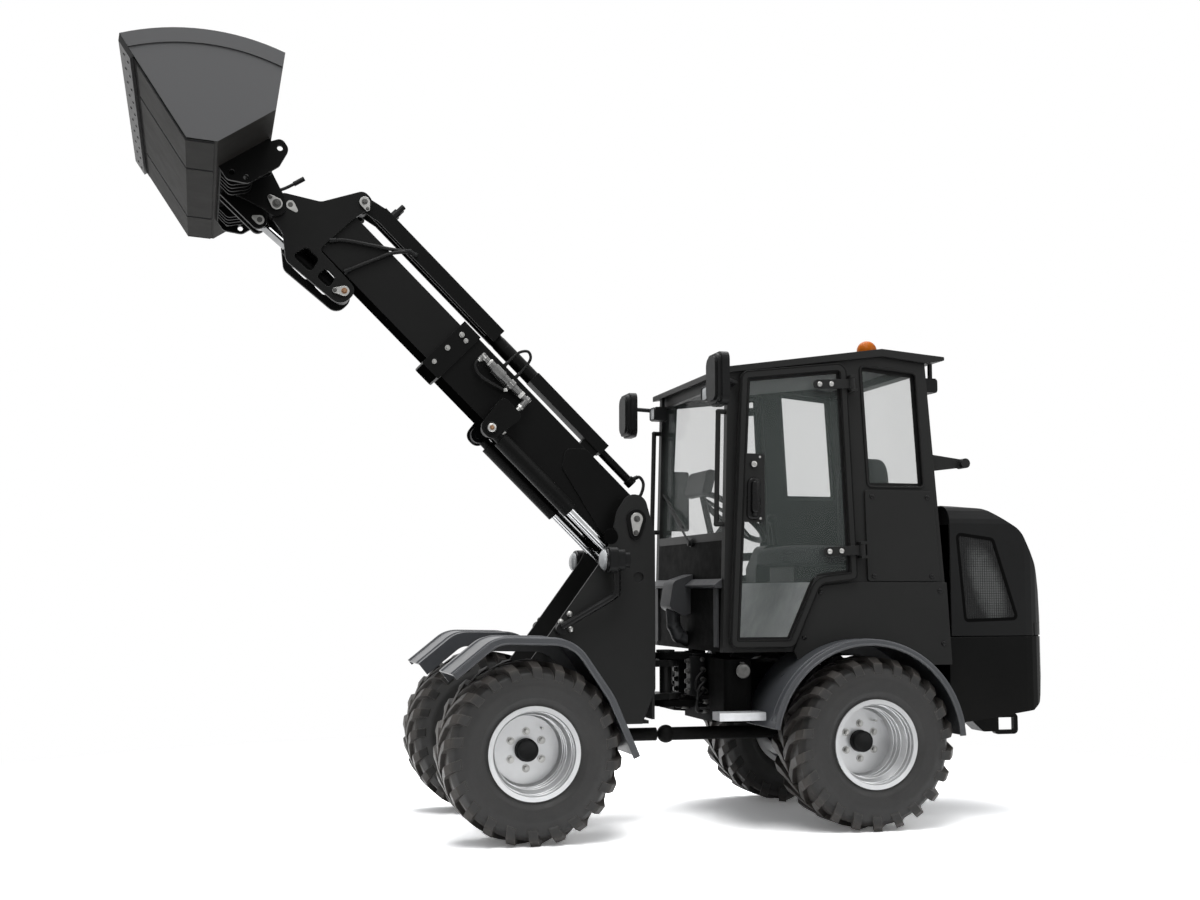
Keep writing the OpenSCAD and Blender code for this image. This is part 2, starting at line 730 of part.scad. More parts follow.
// Roof rail across the cab, from x0 to x1
module cross_rail(x0, x1, h) {
    side_plate(-cab_in - 1, cab_in + 1, [
        [x0, under_roof(x0) - h, 0], [x1, under_roof(x1) - h, 0],
        [x1, under_roof(x1) - run, 0], [x0, under_roof(x0) - run, 0]
    ]);
}
module cab_tub() {
    front = front_x(cab_floor_z) - skin_t - 2;
    back = back_at(deck_z) + 20;
    color(plastic) in_row() side_plate(-cab_in, cab_in, [
        [front, cab_floor_z, 0], [front, cab_floor_z + floor_t, 0], [riser_x + 8, cab_floor_z + floor_t, 0],
        [riser_top + 8, deck_z, 0], [back, deck_z, 0], [back, deck_z - floor_t, 0],
        [riser_top - 4, deck_z - floor_t, 0], [riser_x - 4, cab_floor_z, 0]
    ]);
}
roof_over = 20;
roof_tip = 97;
roof_outline = [
    [cab_front, roof_front_z, 0], [cab_front, roof_front_z + roof_t * 0.8, 8],
    [-ridge_back, roof_ridge_z + roof_t, 0], [-cab_back + cab_back_lean - 20, roof_back_z + roof_t + 4, 0],
    [-cab_back + cab_back_lean - roof_tip, roof_back_z + roof_t - 2, 6],
    [-cab_back + cab_back_lean - roof_tip, roof_back_z + roof_t - 20, 6],
    [-cab_back + cab_back_lean, roof_back_z, 0], [-ridge_back, roof_ridge_z, 0]
];
module roof_solid() {
    side_plate(-cab_y - roof_over, cab_y + roof_over, roof_outline);
}
module cab_roof() {
    color(paint) in_row() roof_solid();
}
module cab_end_panels() {
    low = cab_floor_z;
    high = sill_z - 40;
    color(paint) in_row() {
        side_plate(-cab_in, cab_in, [
            [front_x(low) - skin_t, low, 0], [front_x(low), low, 0], [front_x(high), high, 0],
            [front_x(high) - skin_t, high, 0]
        ]);
        side_plate(-cab_in, cab_in, [
            [back_at(deck_z), deck_z, 0], [back_at(deck_z) + 30, deck_z, 0],
            [back_at(rear_sill_z - 45) + 30, rear_sill_z - 45, 0],
            [back_at(rear_sill_z - 45), rear_sill_z - 45, 0]
        ]);
    }
}
// Cover on the cab's front wall, with the hose elbow that leaves it
module duct_cover() {
    half = 80;
    top = deck_z + 40;
    low = deck_z - 150;
    elbow_r = 34;
    color(plastic) in_row() difference() {
        union() {
            side_plate(-half, half, [
                [front_x(top) + seat, top, 0], [cab_front + 92, top - 34, 34], [cab_front + 114, low + 26, 30],
                [cab_front + 40, low - 14, 20], [front_x(low) + seat, low, 0]
            ]);
            bent_bar([
                [cab_front + 72, 0, low + 20], [cab_front + 66, 0, low - 62], [cab_front + 42, 0, low - 112],
                [front_x(low - 140) - 20, 0, low - 140]
            ], elbow_r);
        }
        side_plate(-2 * half, 2 * half, [
            [front_x(top + 50) + seat, top + 50, 0], [front_x(low - 250) + seat, low - 250, 0],
            [0, low - 250, 0], [0, top + 50, 0]
        ]);
    }
}
module quarter_panels() {
    color(paint) in_row() both_sides() side_plate(cab_y, cab_y + skin_t, [
        [-30, deck_z + 6, 12], [-20, rear_sill_z, 12], [back_at(rear_sill_z) + 28, rear_sill_z, 12],
        [back_at(deck_z) + 28, deck_z + 6, 12]
    ]);
}
module side_skirts() {
    color(paint) in_row() both_sides() difference() {
        side_plate(cab_y, cab_y + skin_t, [
            [-462, 756, 4], [320, 756, 0], [352, 832, 0], [215, 1132, 50], [30, deck_z, 20],
            [back_at(deck_z) - 4, deck_z, 4]
        ]);
        translate([40, cab_y + 2 * skin_t, wheel_r]) rotate([90, 0, 0])
            cylinder(r = rear_fender_r + fender_t + seat, h = 3 * skin_t, $fn = 128);
    }
}
module cab_glass() {
    top = under_roof(front_x(2090)) - header_h;
    back_top_z = roof_back_z - header_h;
    color(pane, 0.4) in_row() {
        side_plate(-cab_in, cab_in, [
            [front_x(sill_z) - 20 - glass_t, sill_z, 0], [front_x(sill_z) - 20, sill_z, 0],
            [front_x(top) - 20, top, 0], [front_x(top) - 20 - glass_t, top, 0]
        ]);
        side_plate(-cab_in, cab_in, [
            [back_at(rear_sill_z) + 14, rear_sill_z, 0], [back_at(rear_sill_z) + 14 + glass_t, rear_sill_z, 0],
            [back_at(back_top_z) + 14 + glass_t, back_top_z, 0], [back_at(back_top_z) + 14, back_top_z, 0]
        ]);
        both_sides() side_plate(cab_in + 18, cab_in + 18 + glass_t, quarter_opening);
    }
}
module seat_base() {
    color(plastic) in_row() {
        flat_plate(deck_z, deck_z + 80, [[-170, -190, 30], [190, -190, 30], [190, 190, 30], [-170, 190, 30]]);
    }
}
module seat() {
    low = deck_z + 80;
    color("#1b1c1c") in_row() {
        flat_plate(low, low + 100, [[-190, -240, 70], [270, -240, 90], [270, 240, 90], [-190, 240, 70]]);
        side_plate(-230, 230, [
            [-196, low, 10], [-200, low + 160, 30], [-230, low + 560, 45], [-330, low + 560, 45],
            [-300, low, 40]
        ]);
    }
}
module steering() {
    wheel_at = [cab_front - 250, 0, deck_z + 330];
    pod_at = [cab_front - 100, -72, deck_z + 500];
    dial_r = 36;
    color(plastic) in_row() {
        side_plate(-60, 60, [
            [cab_front - 100, cab_floor_z + floor_t, 0], [cab_front - 210, deck_z + 200, 20],
            [cab_front - 122, deck_z + 242, 20], [cab_front - 20, deck_z - 150, 20],
            [cab_front - 20, cab_floor_z + floor_t, 0]
        ]);
        // Instrument pod with its dial, on a stalk
        bar([cab_front - 150, -30, deck_z + 210], pod_at, 16);
        translate(pod_at) rotate([0, -14, 0]) {
            side_plate(-140, 140, [[-26, -66, 14], [24, -66, 20], [24, 66, 24], [-26, 66, 14]]);
            translate([-26 - 8, 40, 10]) rotate([0, 90, 0]) cylinder(r = dial_r, h = 10);
        }
        translate(wheel_at) rotate([0, -38, 0]) {
            rotate_extrude() translate([185, 0]) circle(15, $fn = 24);
            for (a = [90, 210, 330]) rotate([0, 0, a]) translate([0, -14, -6]) cube([185, 28, 12]);
            translate([0, 0, -170]) cylinder(r = 26, h = 182);
        }
    }
}
module console() {
    lever_y = -cab_in + 95;
    color(plastic) in_row() {
        side_plate(-cab_in + 20, -cab_in + 170, [
            [-170, deck_z, 0], [-170, deck_z + 200, 40], [150, deck_z + 200, 40], [205, deck_z + 80, 30],
            [205, deck_z, 0]
        ]);
        bar([60, lever_y, deck_z + 195], [80, lever_y, deck_z + 330], 12);
        translate([82, lever_y, deck_z + 345]) sphere(28);
    }
}
module mirrors() {
    post_z = roof_front_z - 48;
    head_x = cab_front + 90;
    head_y = cab_y + 200;
    head_low = post_z - 132;
    head_top = post_z + 112;
    half = 85;
    color(plastic) in_row() both_sides() {
        bent_bar([
            [front_x(post_z) - 24, cab_y, post_z], [front_x(post_z) - 24, cab_y + 40, post_z],
            [head_x - 10, head_y - 60, post_z + 20], [head_x - 10, head_y, post_z + 20]
        ], 11);
        // Shell that steps in toward the front
        for (step = [[-32, 36, 0], [3, 19, 9], [21, 11, 22]])
            translate([head_x + step[0], 0, 0]) rotate([90, 0, 90]) linear_extrude(step[1]) polygon(outline([
                [head_y - half + step[2], head_low + step[2], 40],
                [head_y + half - step[2], head_low + step[2], 40],
                [head_y + half - step[2], head_top - step[2], 40],
                [head_y - half + step[2], head_top - step[2], 40]
            ]));
    }
}
module beacon() {
    at = -300;
    foot_r = 62;
    dome_r = 52;
    foot_z = roof_ridge_z + 60;
    dome_z = foot_z + 60;
    color("#e8760c") in_row() difference() {
        translate([at, 0, 0]) {
            translate([0, 0, roof_back_z - 15]) cylinder(r = foot_r, h = foot_z - roof_back_z + 15);
            translate([0, 0, foot_z]) cylinder(r = dome_r, h = dome_z - foot_z);
            translate([0, 0, dome_z]) sphere(dome_r);
        }
        roof_solid();
        block([at - 100, -100, roof_back_z - 115], [at + 100, 100, roof_back_z + 15]);
    }
}
module work_lamps() {
    size = [60, 90, 70];
    front = cab_front + 6;
    back = -cab_back + cab_back_lean - 66;
    color(plastic) in_row() both_sides() {
        lamp([front, 430, roof_front_z - 83], size, roof_front_z + 16);
        lamp([back, 430, roof_back_z - 95], size, roof_back_z + 26);
    }
}
// Small box lamp hung by a stem that ends under the roof
module lamp(at, size, top) {
    difference() {
        union() {
            translate(at - size / 2) cube(size);
            block([at.x - 29, at.y - 10, at.z], [at.x - 13, at.y + 10, top]);
        }
        roof_solid();
    }
}

// Doors

module door_panel() {
    strap_len = 195;
    strap_half = 22;
    face = cab_y + door_gap + 22;
    glass_face = cab_y + door_gap + 6 + glass_t;
    difference() {
        union() {
            side_plate(cab_y + door_gap, cab_y + door_gap + door_t, door_outline);
        }
        side_plate(cab_y, cab_y + 2 * door_t, inset(door_outline, door_bar));
    }
    // Latch plate with its handle
    side_plate(face - 8, face, [
        [640, 1429, 4], [623, 1751, 4], [497, 1751, 14], [497, 1429, 14]
    ]);
    bent_bar([[549, face - 4, 1618], [549, face + 26, 1612], [556, face + 26, 1464], [556, face - 4, 1458]], 9);
    cross_bar(553, 1700, 17, face - 1, face + 10);
    for (z = [0, hinge_len]) at_hinge() translate([0, 0, z]) difference() {
        union() {
            translate([0, 0, -25]) cylinder(r = 14, h = 50);
            side_plate(-12, -3, [
                [0, -strap_half, 0], [strap_len, -strap_half, 20], [strap_len, strap_half, 20],
                [0, strap_half, 0]
            ]);
            for (x = [105, 165]) cross_bar(x, 0, 15, glass_face + seat - hinge_y, -11);
        }
        translate([0, 0, -50]) cylinder(r = hinge_r + run, h = 100);
    }
}
module door_pane() {
    side_plate(cab_y + door_gap + 6, cab_y + door_gap + 6 + glass_t, inset(door_outline, door_bar));
}
module door_left() { color(paint) in_row() door_panel(); }
module door_right() { color(paint) in_row() mirror([0, 1, 0]) door_panel(); }
module door_left_glass() { color(pane, 0.4) in_row() door_pane(); }
module door_right_glass() { color(pane, 0.4) in_row() mirror([0, 1, 0]) door_pane(); }

// Hood

hood_low = weight_z + hood_gap;
hood_side = [
    [-tail_back + 3, hood_low, 0], [-hood_front, hood_low, 0], [-hood_front, hood_top, 0],
    [-700, hood_top - 14, 120], [-880, hood_top - 120, 140], [-970, hood_top - 300, 300]
];
vent = [[-566, 962, 20], [-529, 1390, 20], [-727, 1364, 24], [-853, 971, 20]];
module hood_form(d) {
    intersection() {
        side_plate(-hood_w, hood_w, inset(hood_side, d));
        tail_plan(hood_low - 200, hood_top + 100, hood_front - 200, 130, d);
        translate([-2000, 0, 0]) rotate([90, 0, 90]) linear_extrude(2000) polygon(outline([
            [-hood_w / 2 + d, hood_low - 100, 0], [hood_w / 2 - d, hood_low - 100, 0],
            [hood_w / 2 - d, hood_top - d, 90 - d], [-hood_w / 2 + d, hood_top - d, 90 - d]
        ]));
    }
}
module hood() {
    ear_y = hood_lug_y + hood_lug_t + move_gap;
    ear_t = 15;
    color(plastic) in_row() {
        difference() {
            hood_form(0);
            hood_form(hood_t);
            block([-tail_back + 20, -hood_w / 2 + hood_t, hood_low - 1],
                [-hood_front + 1, hood_w / 2 - hood_t, hood_low + 60]);
            block([-hood_front - 40, -hood_w / 2 + hood_t, hood_low - 1],
                [-hood_front + 1, hood_w / 2 - hood_t, hood_top - 95]);
            both_sides() side_plate(hood_w / 2 - 2 * hood_t, hood_w / 2 + 1, vent);
            // Slots for the cab's hinge lugs
            both_sides() block([-hood_front - 48, hood_lug_y - move_gap, hood_top - 60],
                [-hood_front + 1, ear_y, hood_top + 1]);
        }
        both_sides() difference() {
            side_plate(ear_y, ear_y + ear_t, [
                [-560, hood_top - 8, 0], [-560, hood_top - 60, 0], [hood_pin.x + 20, hood_pin.y - 20, 18],
                [hood_pin.x + 20, hood_pin.y + 15, 14], [-hood_front - 4, hood_top - 3, 0]
            ]);
            cross_bar(hood_pin.x, hood_pin.y, hood_pin_r + run, ear_y - 1, ear_y + ear_t + 1);
        }
    }
}
module hood_grilles() {
    pitch = 22;
    slot = 12;
    color("#151515") in_row() both_sides() translate([0, hood_w / 2 - 3, 0]) rotate([90, 0, 0])
        linear_extrude(5) difference() {
            polygon(outline(vent));
            intersection() {
                polygon(outline(inset(vent, 16)));
                for (z = [970 : pitch : 1400]) translate([-900, z]) square([400, slot]);
            }
        }
}

// Front frame

lift_foot = [
    boom_x + (lift_u - lift_len) * cos(boom_angle) + lift_drop * sin(boom_angle),
    boom_z + (lift_u - lift_len) * sin(boom_angle) - lift_drop * cos(boom_angle)
];
tower_outline = [
    [boom_x - 30, frame_z, 0], [front_axle_x + tower_front, frame_z, 20],
    [front_axle_x + tower_front, frame_z + 70, 30],
    [boom_x + 420, boom_z - 541, 60], [boom_x + 165, boom_z - 191, 30], [boom_x + 124, boom_z - 108, 30],
    [boom_x + 94, boom_z + 37, 60], [boom_x + 34, boom_z + 129, 60], [boom_x - 46, boom_z + 107, 60],
    [tower_back, boom_z - 73, 100], [tower_back, 640, 40]
];
module tower() {
    wall_z = 980;
    color(paint) in_row() {
        both_sides() difference() {
            side_plate(tower_in, tower_y, tower_outline);
            cross_bar(boom_x + 121, boom_z - 61, 22, tower_in - 1, tower_y + 1);
            cross_bar(lift_foot.x, lift_foot.y, 25, tower_in + 4, tower_y + 1);
        }
        block([tower_back, -tower_in - 1, frame_z + 20], [tower_back + tower_t, tower_in + 1, wall_z]);
        block([tower_back + 30, -tower_in - 1, frame_z],
            [front_axle_x + tower_front - 10, tower_in + 1, frame_z + tower_t]);
        block([boom_x + 274, -tower_in - 1, frame_z], [boom_x + 274 + tower_t, tower_in + 1, frame_z + 140]);
        cross_bar(boom_x, boom_z, boom_pin_d / 2, -tower_y - 12, tower_y + 12);
        both_sides() cross_bar(lift_foot.x, lift_foot.y, lift_pin_d / 2, lift_y + 27, tower_in + 4);
        for (z = [lug_low + joint_lug_t + lug_gap, lug_high - joint_lug_t - lug_gap])
            joint_lug(z, tower_back + 1);
        translate([joint_x, 0, lug_low - 6]) cylinder(d = joint_pin_d, h = joint_span + joint_lug_t + 14);
        translate([joint_x, 0, lug_high + joint_lug_t + 2]) cylinder(r = 46, h = 12);
    }
}
lamp_half = 60;
// Slice of a lamp housing with a rounded square section, from x0 to x1
module lamp_ring(x0, x1, half) {
    translate([x0, 0, 0]) rotate([90, 0, 90]) linear_extrude(x1 - x0) polygon(outline([
        [-half, -half, half / 2], [half, -half, half / 2], [half, half, half / 2], [-half, half, half / 2]
    ]));
}
module headlamps() {
    lamp_y = tower_y + 75;
    face_x = boom_x + 164;
    lamp_z = boom_z - 198;
    foot = [boom_x + 374, boom_z - 523];
    color(plastic) in_row() both_sides() {
        translate([face_x, lamp_y, lamp_z]) {
            lamp_ring(-42, 0, lamp_half);
            lamp_ring(-78, -42, lamp_half - 10);
            lamp_ring(-106, -78, lamp_half - 24);
        }
        bent_bar([
            [face_x - 50, lamp_y, lamp_z - 40], [face_x - 50, lamp_y, lamp_z - 160],
            [foot.x, tower_y + 34, foot.y + 10]
        ], 14);
        cross_bar(foot.x, foot.y, 26, tower_y, tower_y + 40);
    }
}

// Boom

hub_r = 62;
pad_len = 60;
collar_len = 110;
lift_ear_t = 14;
lift_eye_w = 56;
module boom_outer() {
    y = outer_w / 2;
    hub_y = tower_in - move_gap;
    ear_y = lift_y + lift_eye_w / 2 + 3;
    cavity_low = -outer_drop + tube_wall;
    cavity_top = outer_top - tube_wall;
    color(paint) in_row() in_boom() {
        difference() {
            union() {
                // Tube, mouth collar and base plates
                side_plate(-y, y, [
                    [-40, -60, 40], [60, -outer_drop, 30], [outer_len, -outer_drop, 0],
                    [outer_len, outer_top, 0],
                    [70, outer_top, 60], [-40, 60, 40]
                ]);
                side_plate(-y - 12, y + 12, [
                    [outer_len - collar_len, -outer_drop - 22, 8], [outer_len, -outer_drop - 22, 8],
                    [outer_len, outer_top + 8, 0], [outer_len - collar_len, outer_top + 8, 0]
                ]);
                both_sides() side_plate(y - 1, y + 8, [
                    [-50, -70, 60], [40, -150, 60], [420, -60, 40], [470, 20, 30], [400, outer_top, 20],
                    [60, outer_top, 80], [-50, 60, 60]
                ]);
                cross_bar(0, 0, hub_r, -hub_y, hub_y);
                // Ears of the lift cylinders
                both_sides() {
                    side_plate(ear_y, ear_y + lift_ear_t, [
                        [lift_u - 45, -lift_drop - 45, 44], [lift_u + 45, -lift_drop - 45, 44],
                        [lift_u + 70, -40, 30], [lift_u - 70, -40, 30]
                    ]);
                    block([lift_u - 60, y - 1, -120], [lift_u + 60, ear_y + 1, -60]);
                    cross_bar(lift_u, -lift_drop, lift_pin_d / 2, lift_y - lift_eye_w / 2 - 4,
                        ear_y + lift_ear_t);
                }
            }
            difference() {
                block([105, -y + tube_wall, cavity_low], [outer_len + 1, y - tube_wall, cavity_top]);
                // Wear pads at the mouth
                mouth_pads(cavity_low, cavity_top, y - tube_wall);
            }
            cross_bar(0, 0, boom_pin_d / 2 + run, -hub_y - 1, hub_y + 1);
        }
    }
}
module mouth_pads(low, top, y) {
    pad = slide_gap - seat;
    x = [outer_len - pad_len, outer_len + 2];
    block([x[0], -60, low - 1], [x[1], 60, low + pad]);
    block([x[0], -60, top - pad], [x[1], 60, top + 1]);
    both_sides() block([x[0], y - pad, low + 60], [x[1], y + 1, top - 60]);
}
module boom_inner() {
    color(paint) in_row() in_boom() difference() {
        block([inner_back, -inner_w / 2, inner_low], [inner_front, inner_w / 2, inner_low + inner_h]);
        block([inner_back - 1, -inner_w / 2 + tube_wall, inner_low + tube_wall],
            [inner_front + 1, inner_w / 2 - tube_wall, inner_low + inner_h - tube_wall]);
    }
}
tele_pin_u = 1983;
tele_pin_z = tele_z - 22;
tele_pin_r = 20;
// Ends of the guard, and the couplers' distance from its front end
guard_back = 1082;
guard_front = tele_pin_u - 83;
coupler_inset = 50;
head_outline = [
    [1700, -172, 45], [1700, -285, 55], [2030, -318, 50], [2130, -238, 60], [2205, -226, 20], [2300, -190, 48],
    [2268, -100, 48], [2120, 0, 60], [2024, tele_pin_z + 38, 38], [1943, tele_pin_z + 38, 38], [1960, 40, 30], [1962, -166, 20]
];
module boom_head() {
    in_y = inner_w / 2;
    pin_y = head_y + move_gap + hitch_ear_t + 8;
    color(paint) in_row() in_boom() {
        both_sides() difference() {
            side_plate(in_y, head_y, head_outline);
            side_plate(in_y - 1, head_y + 1,
                [[1910, -275, 20], [2030, -280, 20], [2010, -200, 20], [1930, -200, 20]]);
            side_plate(in_y - 1, head_y + 1,
                [[1800, -265, 18], [1880, -268, 18], [1880, -205, 18], [1815, -205, 18]]);
        }
        cross_bar(tilt_u, -tilt_drop, tilt_pin_d / 2, -pin_y, pin_y);
        cross_bar(tele_pin_u, tele_pin_z, tele_pin_r, -head_y - 6, head_y + 6);
        cross_bar(tilt_base_u, -tilt_base_drop, 22, -head_y - 6, head_y + 6);
    }
}
// Lock valve on the boom's left face: a bracket, the valve body along the boom and its two end fittings
module boom_valve() {
    face = outer_w / 2 + seat;
    mid_u = 930;
    mid_w = 36;
    y = face + 42;
    color("#8d8f90") in_row() in_boom() {
        block([mid_u - 50, face, mid_w - 22], [mid_u + 60, face + 30, mid_w + 18]);
        long_bar(mid_u - 112, mid_u + 100, y, mid_w, 19);
        long_bar(mid_u - 64, mid_u - 38, y, mid_w, 25);
        long_bar(mid_u + 2, mid_u + 64, y, mid_w, 24);
        long_bar(mid_u + 99, mid_u + 146, y, mid_w, 14);
        long_bar(mid_u - 160, mid_u - 111, y, mid_w, 15);
        bar([mid_u - 160, y, mid_w + 18], [mid_u - 160, y, mid_w - 40], 16);
        bar([mid_u + 138, y, mid_w + 14], [mid_u + 138, y, mid_w - 24], 13);
    }
}
guard_w = 120;
guard_t = 10;
// Height of the guard's top over the telescope rod, and of the rod over its lower edge
guard_rise = 50;
guard_drop = 24;
tele_block_w = 90;
module telescope_barrel() {
    color(paint) in_row() in_boom() difference() {
        union() {
            block([320, -tele_block_w / 2, tele_z - 30], [820, tele_block_w / 2, tele_z + 32]);
            // Tail tube with its port block
            long_bar(96, 321, 0, tele_z - 9, 21);
            long_bar(96, 130, 0, tele_z - 9, 27);
            block([335, -tele_block_w / 2 + 10, outer_top], [430, tele_block_w / 2 - 10, tele_z]);
            long_bar(819, 1020, 0, tele_z, 38);
        }
        long_bar(332, 1021, 0, tele_z, tele_rod_d / 2 + run);
    }
}
module telescope_rod() {
    color(steel) in_row() in_boom() {
        difference() {
            union() {
                long_bar(950, tele_pin_u, 0, tele_z, tele_rod_d / 2);
                cross_bar(tele_pin_u, tele_pin_z, 38, -30, 30);
            }
            cross_bar(tele_pin_u, tele_pin_z, tele_pin_r + seat, -31, 31);
        }
    }
}
module telescope_guard() {
    y = guard_w / 2;
    low = tele_z - guard_drop;
    top = tele_z + guard_rise;
    color(paint) in_row() in_boom() {
        difference() {
            block([guard_back, -y, low], [guard_front, y, top]);
            block([guard_back - 1, -y + guard_t, low - 1], [guard_front + 1, y - guard_t, top - guard_t]);
        }
        both_sides() difference() {
            side_plate(y - guard_t, y, [
                [guard_front - 20, low, 0], [tele_pin_u + 36, tele_pin_z - 36, 34],
                [tele_pin_u + 36, tele_pin_z + 36, 34], [guard_front - 20, top, 0]
            ]);
            cross_bar(tele_pin_u, tele_pin_z, tele_pin_r + seat, 0, y + 1);
        }
    }
}
// Quick couplers for attachments, standing on the guard
coupler_u = guard_front - coupler_inset;
coupler_r = 13.75;
module hydraulic_couplers() {
    top = tele_z + guard_rise;
    color(steel) in_row() in_boom() for (y = [-30, 30]) translate([coupler_u, y, top]) {
        cylinder(r = 20, h = 35);
        cylinder(r = coupler_r, h = 75);
    }
}
module lift_barrel() {
    gland = lift_u - lift_barrel_len;
    r = lift_barrel_d / 2;
    difference() {
        union() {
            long_bar(gland, lift_u - 72, 0, 0, r);
            long_bar(lift_u - 73, lift_u - 25, 0, 0, lift_eye_w / 2 - 2);
            cross_bar(lift_u, 0, 40, -lift_eye_w / 2, lift_eye_w / 2);
        }
        long_bar(gland - 1, lift_u - 100, 0, 0, lift_rod_d / 2 + run);
        cross_bar(lift_u, 0, lift_pin_d / 2 + run, -lift_eye_w, lift_eye_w);
    }
}
module lift_barrels() {
    color(paint) in_row() in_boom() for (y = [-lift_y, lift_y]) translate([0, y, -lift_drop]) lift_barrel();
}
module lift_rods() {
    eye = lift_u - lift_len;
    color(steel) in_row() in_boom() for (y = [-lift_y, lift_y]) translate([0, y, -lift_drop]) difference() {
        union() {
            long_bar(eye, lift_u - lift_barrel_len + 80, 0, 0, lift_rod_d / 2);
            cross_bar(eye, 0, 38, -25, 25);
        }
        cross_bar(eye, 0, lift_pin_d / 2 + seat, -26, 26);
    }
}

// Bucket and hitch

// Rod eye of the tilt cylinder in the bucket frame
tilt_eye = [-10, -94];
hitch_ear_t = 20;
hitch_plate = 16;
// Hooked plates of the hitch: how many on each side, the first one's place, their pitch and thickness
hook_count = 4;
hook_start = 210;
hook_pitch = 58;
hook_t = 12;
lug_in = 36;
lug_t = 24;
eye_half = 30;
// Length of the tilt rod inside its barrel
rod_inside = 140;
// The same eye in the boom frame
tilt_eye_boom = [
    tilt_u + tilt_eye.x * cos(floor_angle) - tilt_eye.y * sin(floor_angle),
    -tilt_drop + tilt_eye.x * sin(floor_angle) + tilt_eye.y * cos(floor_angle)
];
tilt_run = tilt_eye_boom - [tilt_base_u, -tilt_base_drop];
tilt_swing = atan2(tilt_run.y, tilt_run.x);
tilt_len = norm(tilt_run);
module in_tilt() {
    in_boom() translate([tilt_base_u, 0, -tilt_base_drop]) rotate([0, -tilt_swing, 0]) children();
}
module tilt_barrel() {
    color(paint) in_row() in_tilt() difference() {
        union() {
            long_bar(30, tilt_barrel_len, 0, 0, tilt_barrel_d / 2);
            cross_bar(0, 0, 38, -38, 38);
        }
        long_bar(45, tilt_barrel_len + 1, 0, 0, tilt_rod_d / 2 + run);
        cross_bar(0, 0, 22 + run, -39, 39);
    }
}
module tilt_rod() {
    color(steel) in_row() in_tilt() difference() {
        union() {
            long_bar(tilt_barrel_len - rod_inside, tilt_len, 0, 0, tilt_rod_d / 2);
            cross_bar(tilt_len, 0, 34, -eye_half, eye_half);
        }
        cross_bar(tilt_len, 0, 20 + seat, -eye_half - 1, eye_half + 1);
    }
}
module hitch() {
    ear_y = head_y + move_gap;
    plate = back_x - hitch_plate;
    reach = 500;
    color(paint) in_row() in_bucket() {
        block([plate, -reach, -190], [back_x, reach, 70]);
        both_sides() {
            difference() {
                side_plate(ear_y, ear_y + hitch_ear_t, [
                    [plate + 1, -170, 0], [plate + 1, 68, 0], [20, 52, 50], [-52, 30, 45], [-52, -40, 45],
                    [10, -60, 30]
                ]);
                cross_bar(0, 0, tilt_pin_d / 2 + run, ear_y - 1, ear_y + hitch_ear_t + 1);
            }
            side_plate(lug_in, lug_in + lug_t, [
                [plate + 1, -185, 0], [plate + 1, -40, 0], [tilt_eye.x + 10, tilt_eye.y + 36, 30],
                [tilt_eye.x - 36, tilt_eye.y + 20, 30], [tilt_eye.x - 36, tilt_eye.y - 36, 34]
            ]);
            cross_bar(tilt_eye.x, tilt_eye.y, 20, eye_half + 3, lug_in + 1);
            // End plate with its pin holes
            difference() {
                side_plate(reach - hitch_ear_t, reach, [
                    [plate + 1, -190, 0], [plate + 1, 70, 0], [plate - 10, 118, 30], [plate - 70, 118, 34],
                    [plate - 112, 40, 30], [plate - 112, -120, 40], [plate - 50, -190, 30]
                ]);
                for (p = [[plate - 34, -154], [plate - 84, -112], [plate - 44, 86]])
                    cross_bar(p.x, p.y, 13, reach - hitch_ear_t - 1, reach + 1);
            }
            // Row of hooked plates
            for (i = [0 : hook_count - 1]) let (y = hook_start + i * hook_pitch) side_plate(y, y + hook_t, [
                [plate + 1, -188, 0], [plate + 1, 69, 0], [plate - 26, 84, 22], [plate - 74, 36, 26],
                [plate - 44, -34, 34], [plate - 92, -92, 30], [plate - 58, -176, 30]
            ]);
            // Tubes through the row
            cross_bar(plate - 58, -104, 17, hook_start, reach - hitch_ear_t + 1);
            cross_bar(plate - 40, 36, 17, hook_start, reach - hitch_ear_t + 1);
        }
    }
}
bucket_low = -floor_drop;
bucket_heel = [back_x + chamfer_x, bucket_low];
bucket_knee = [back_x, -200];
bucket_shoulder = [back_x, 80];
bucket_top = [back_x + 188, back_top];
bucket_lip = [back_x + chamfer_x + floor_len, bucket_low];
// Free edge of the cheeks: an arc through the top and the lip, bulging by its rise
edge_rise = 60;
edge_chord = bucket_lip - bucket_top;
edge_r = (edge_chord * edge_chord / 4 + edge_rise * edge_rise) / (2 * edge_rise);
edge_middle = (bucket_top + bucket_lip) / 2 + unit([-edge_chord.y, edge_chord.x]) * (edge_rise - edge_r);
function cheek_edge(n) =
    let (
        from = bucket_lip - edge_middle,
        to = bucket_top - edge_middle,
        a0 = atan2(from.y, from.x),
        a1 = atan2(to.y, to.x)
    )
    [for (i = [0 : n]) let (a = a0 + (a1 - a0) * i / n) edge_middle + edge_r * [cos(a), sin(a)]];
// Thickness and width of the strips along the cheeks' free edges
strip_t = 5;
strip_w = 62;
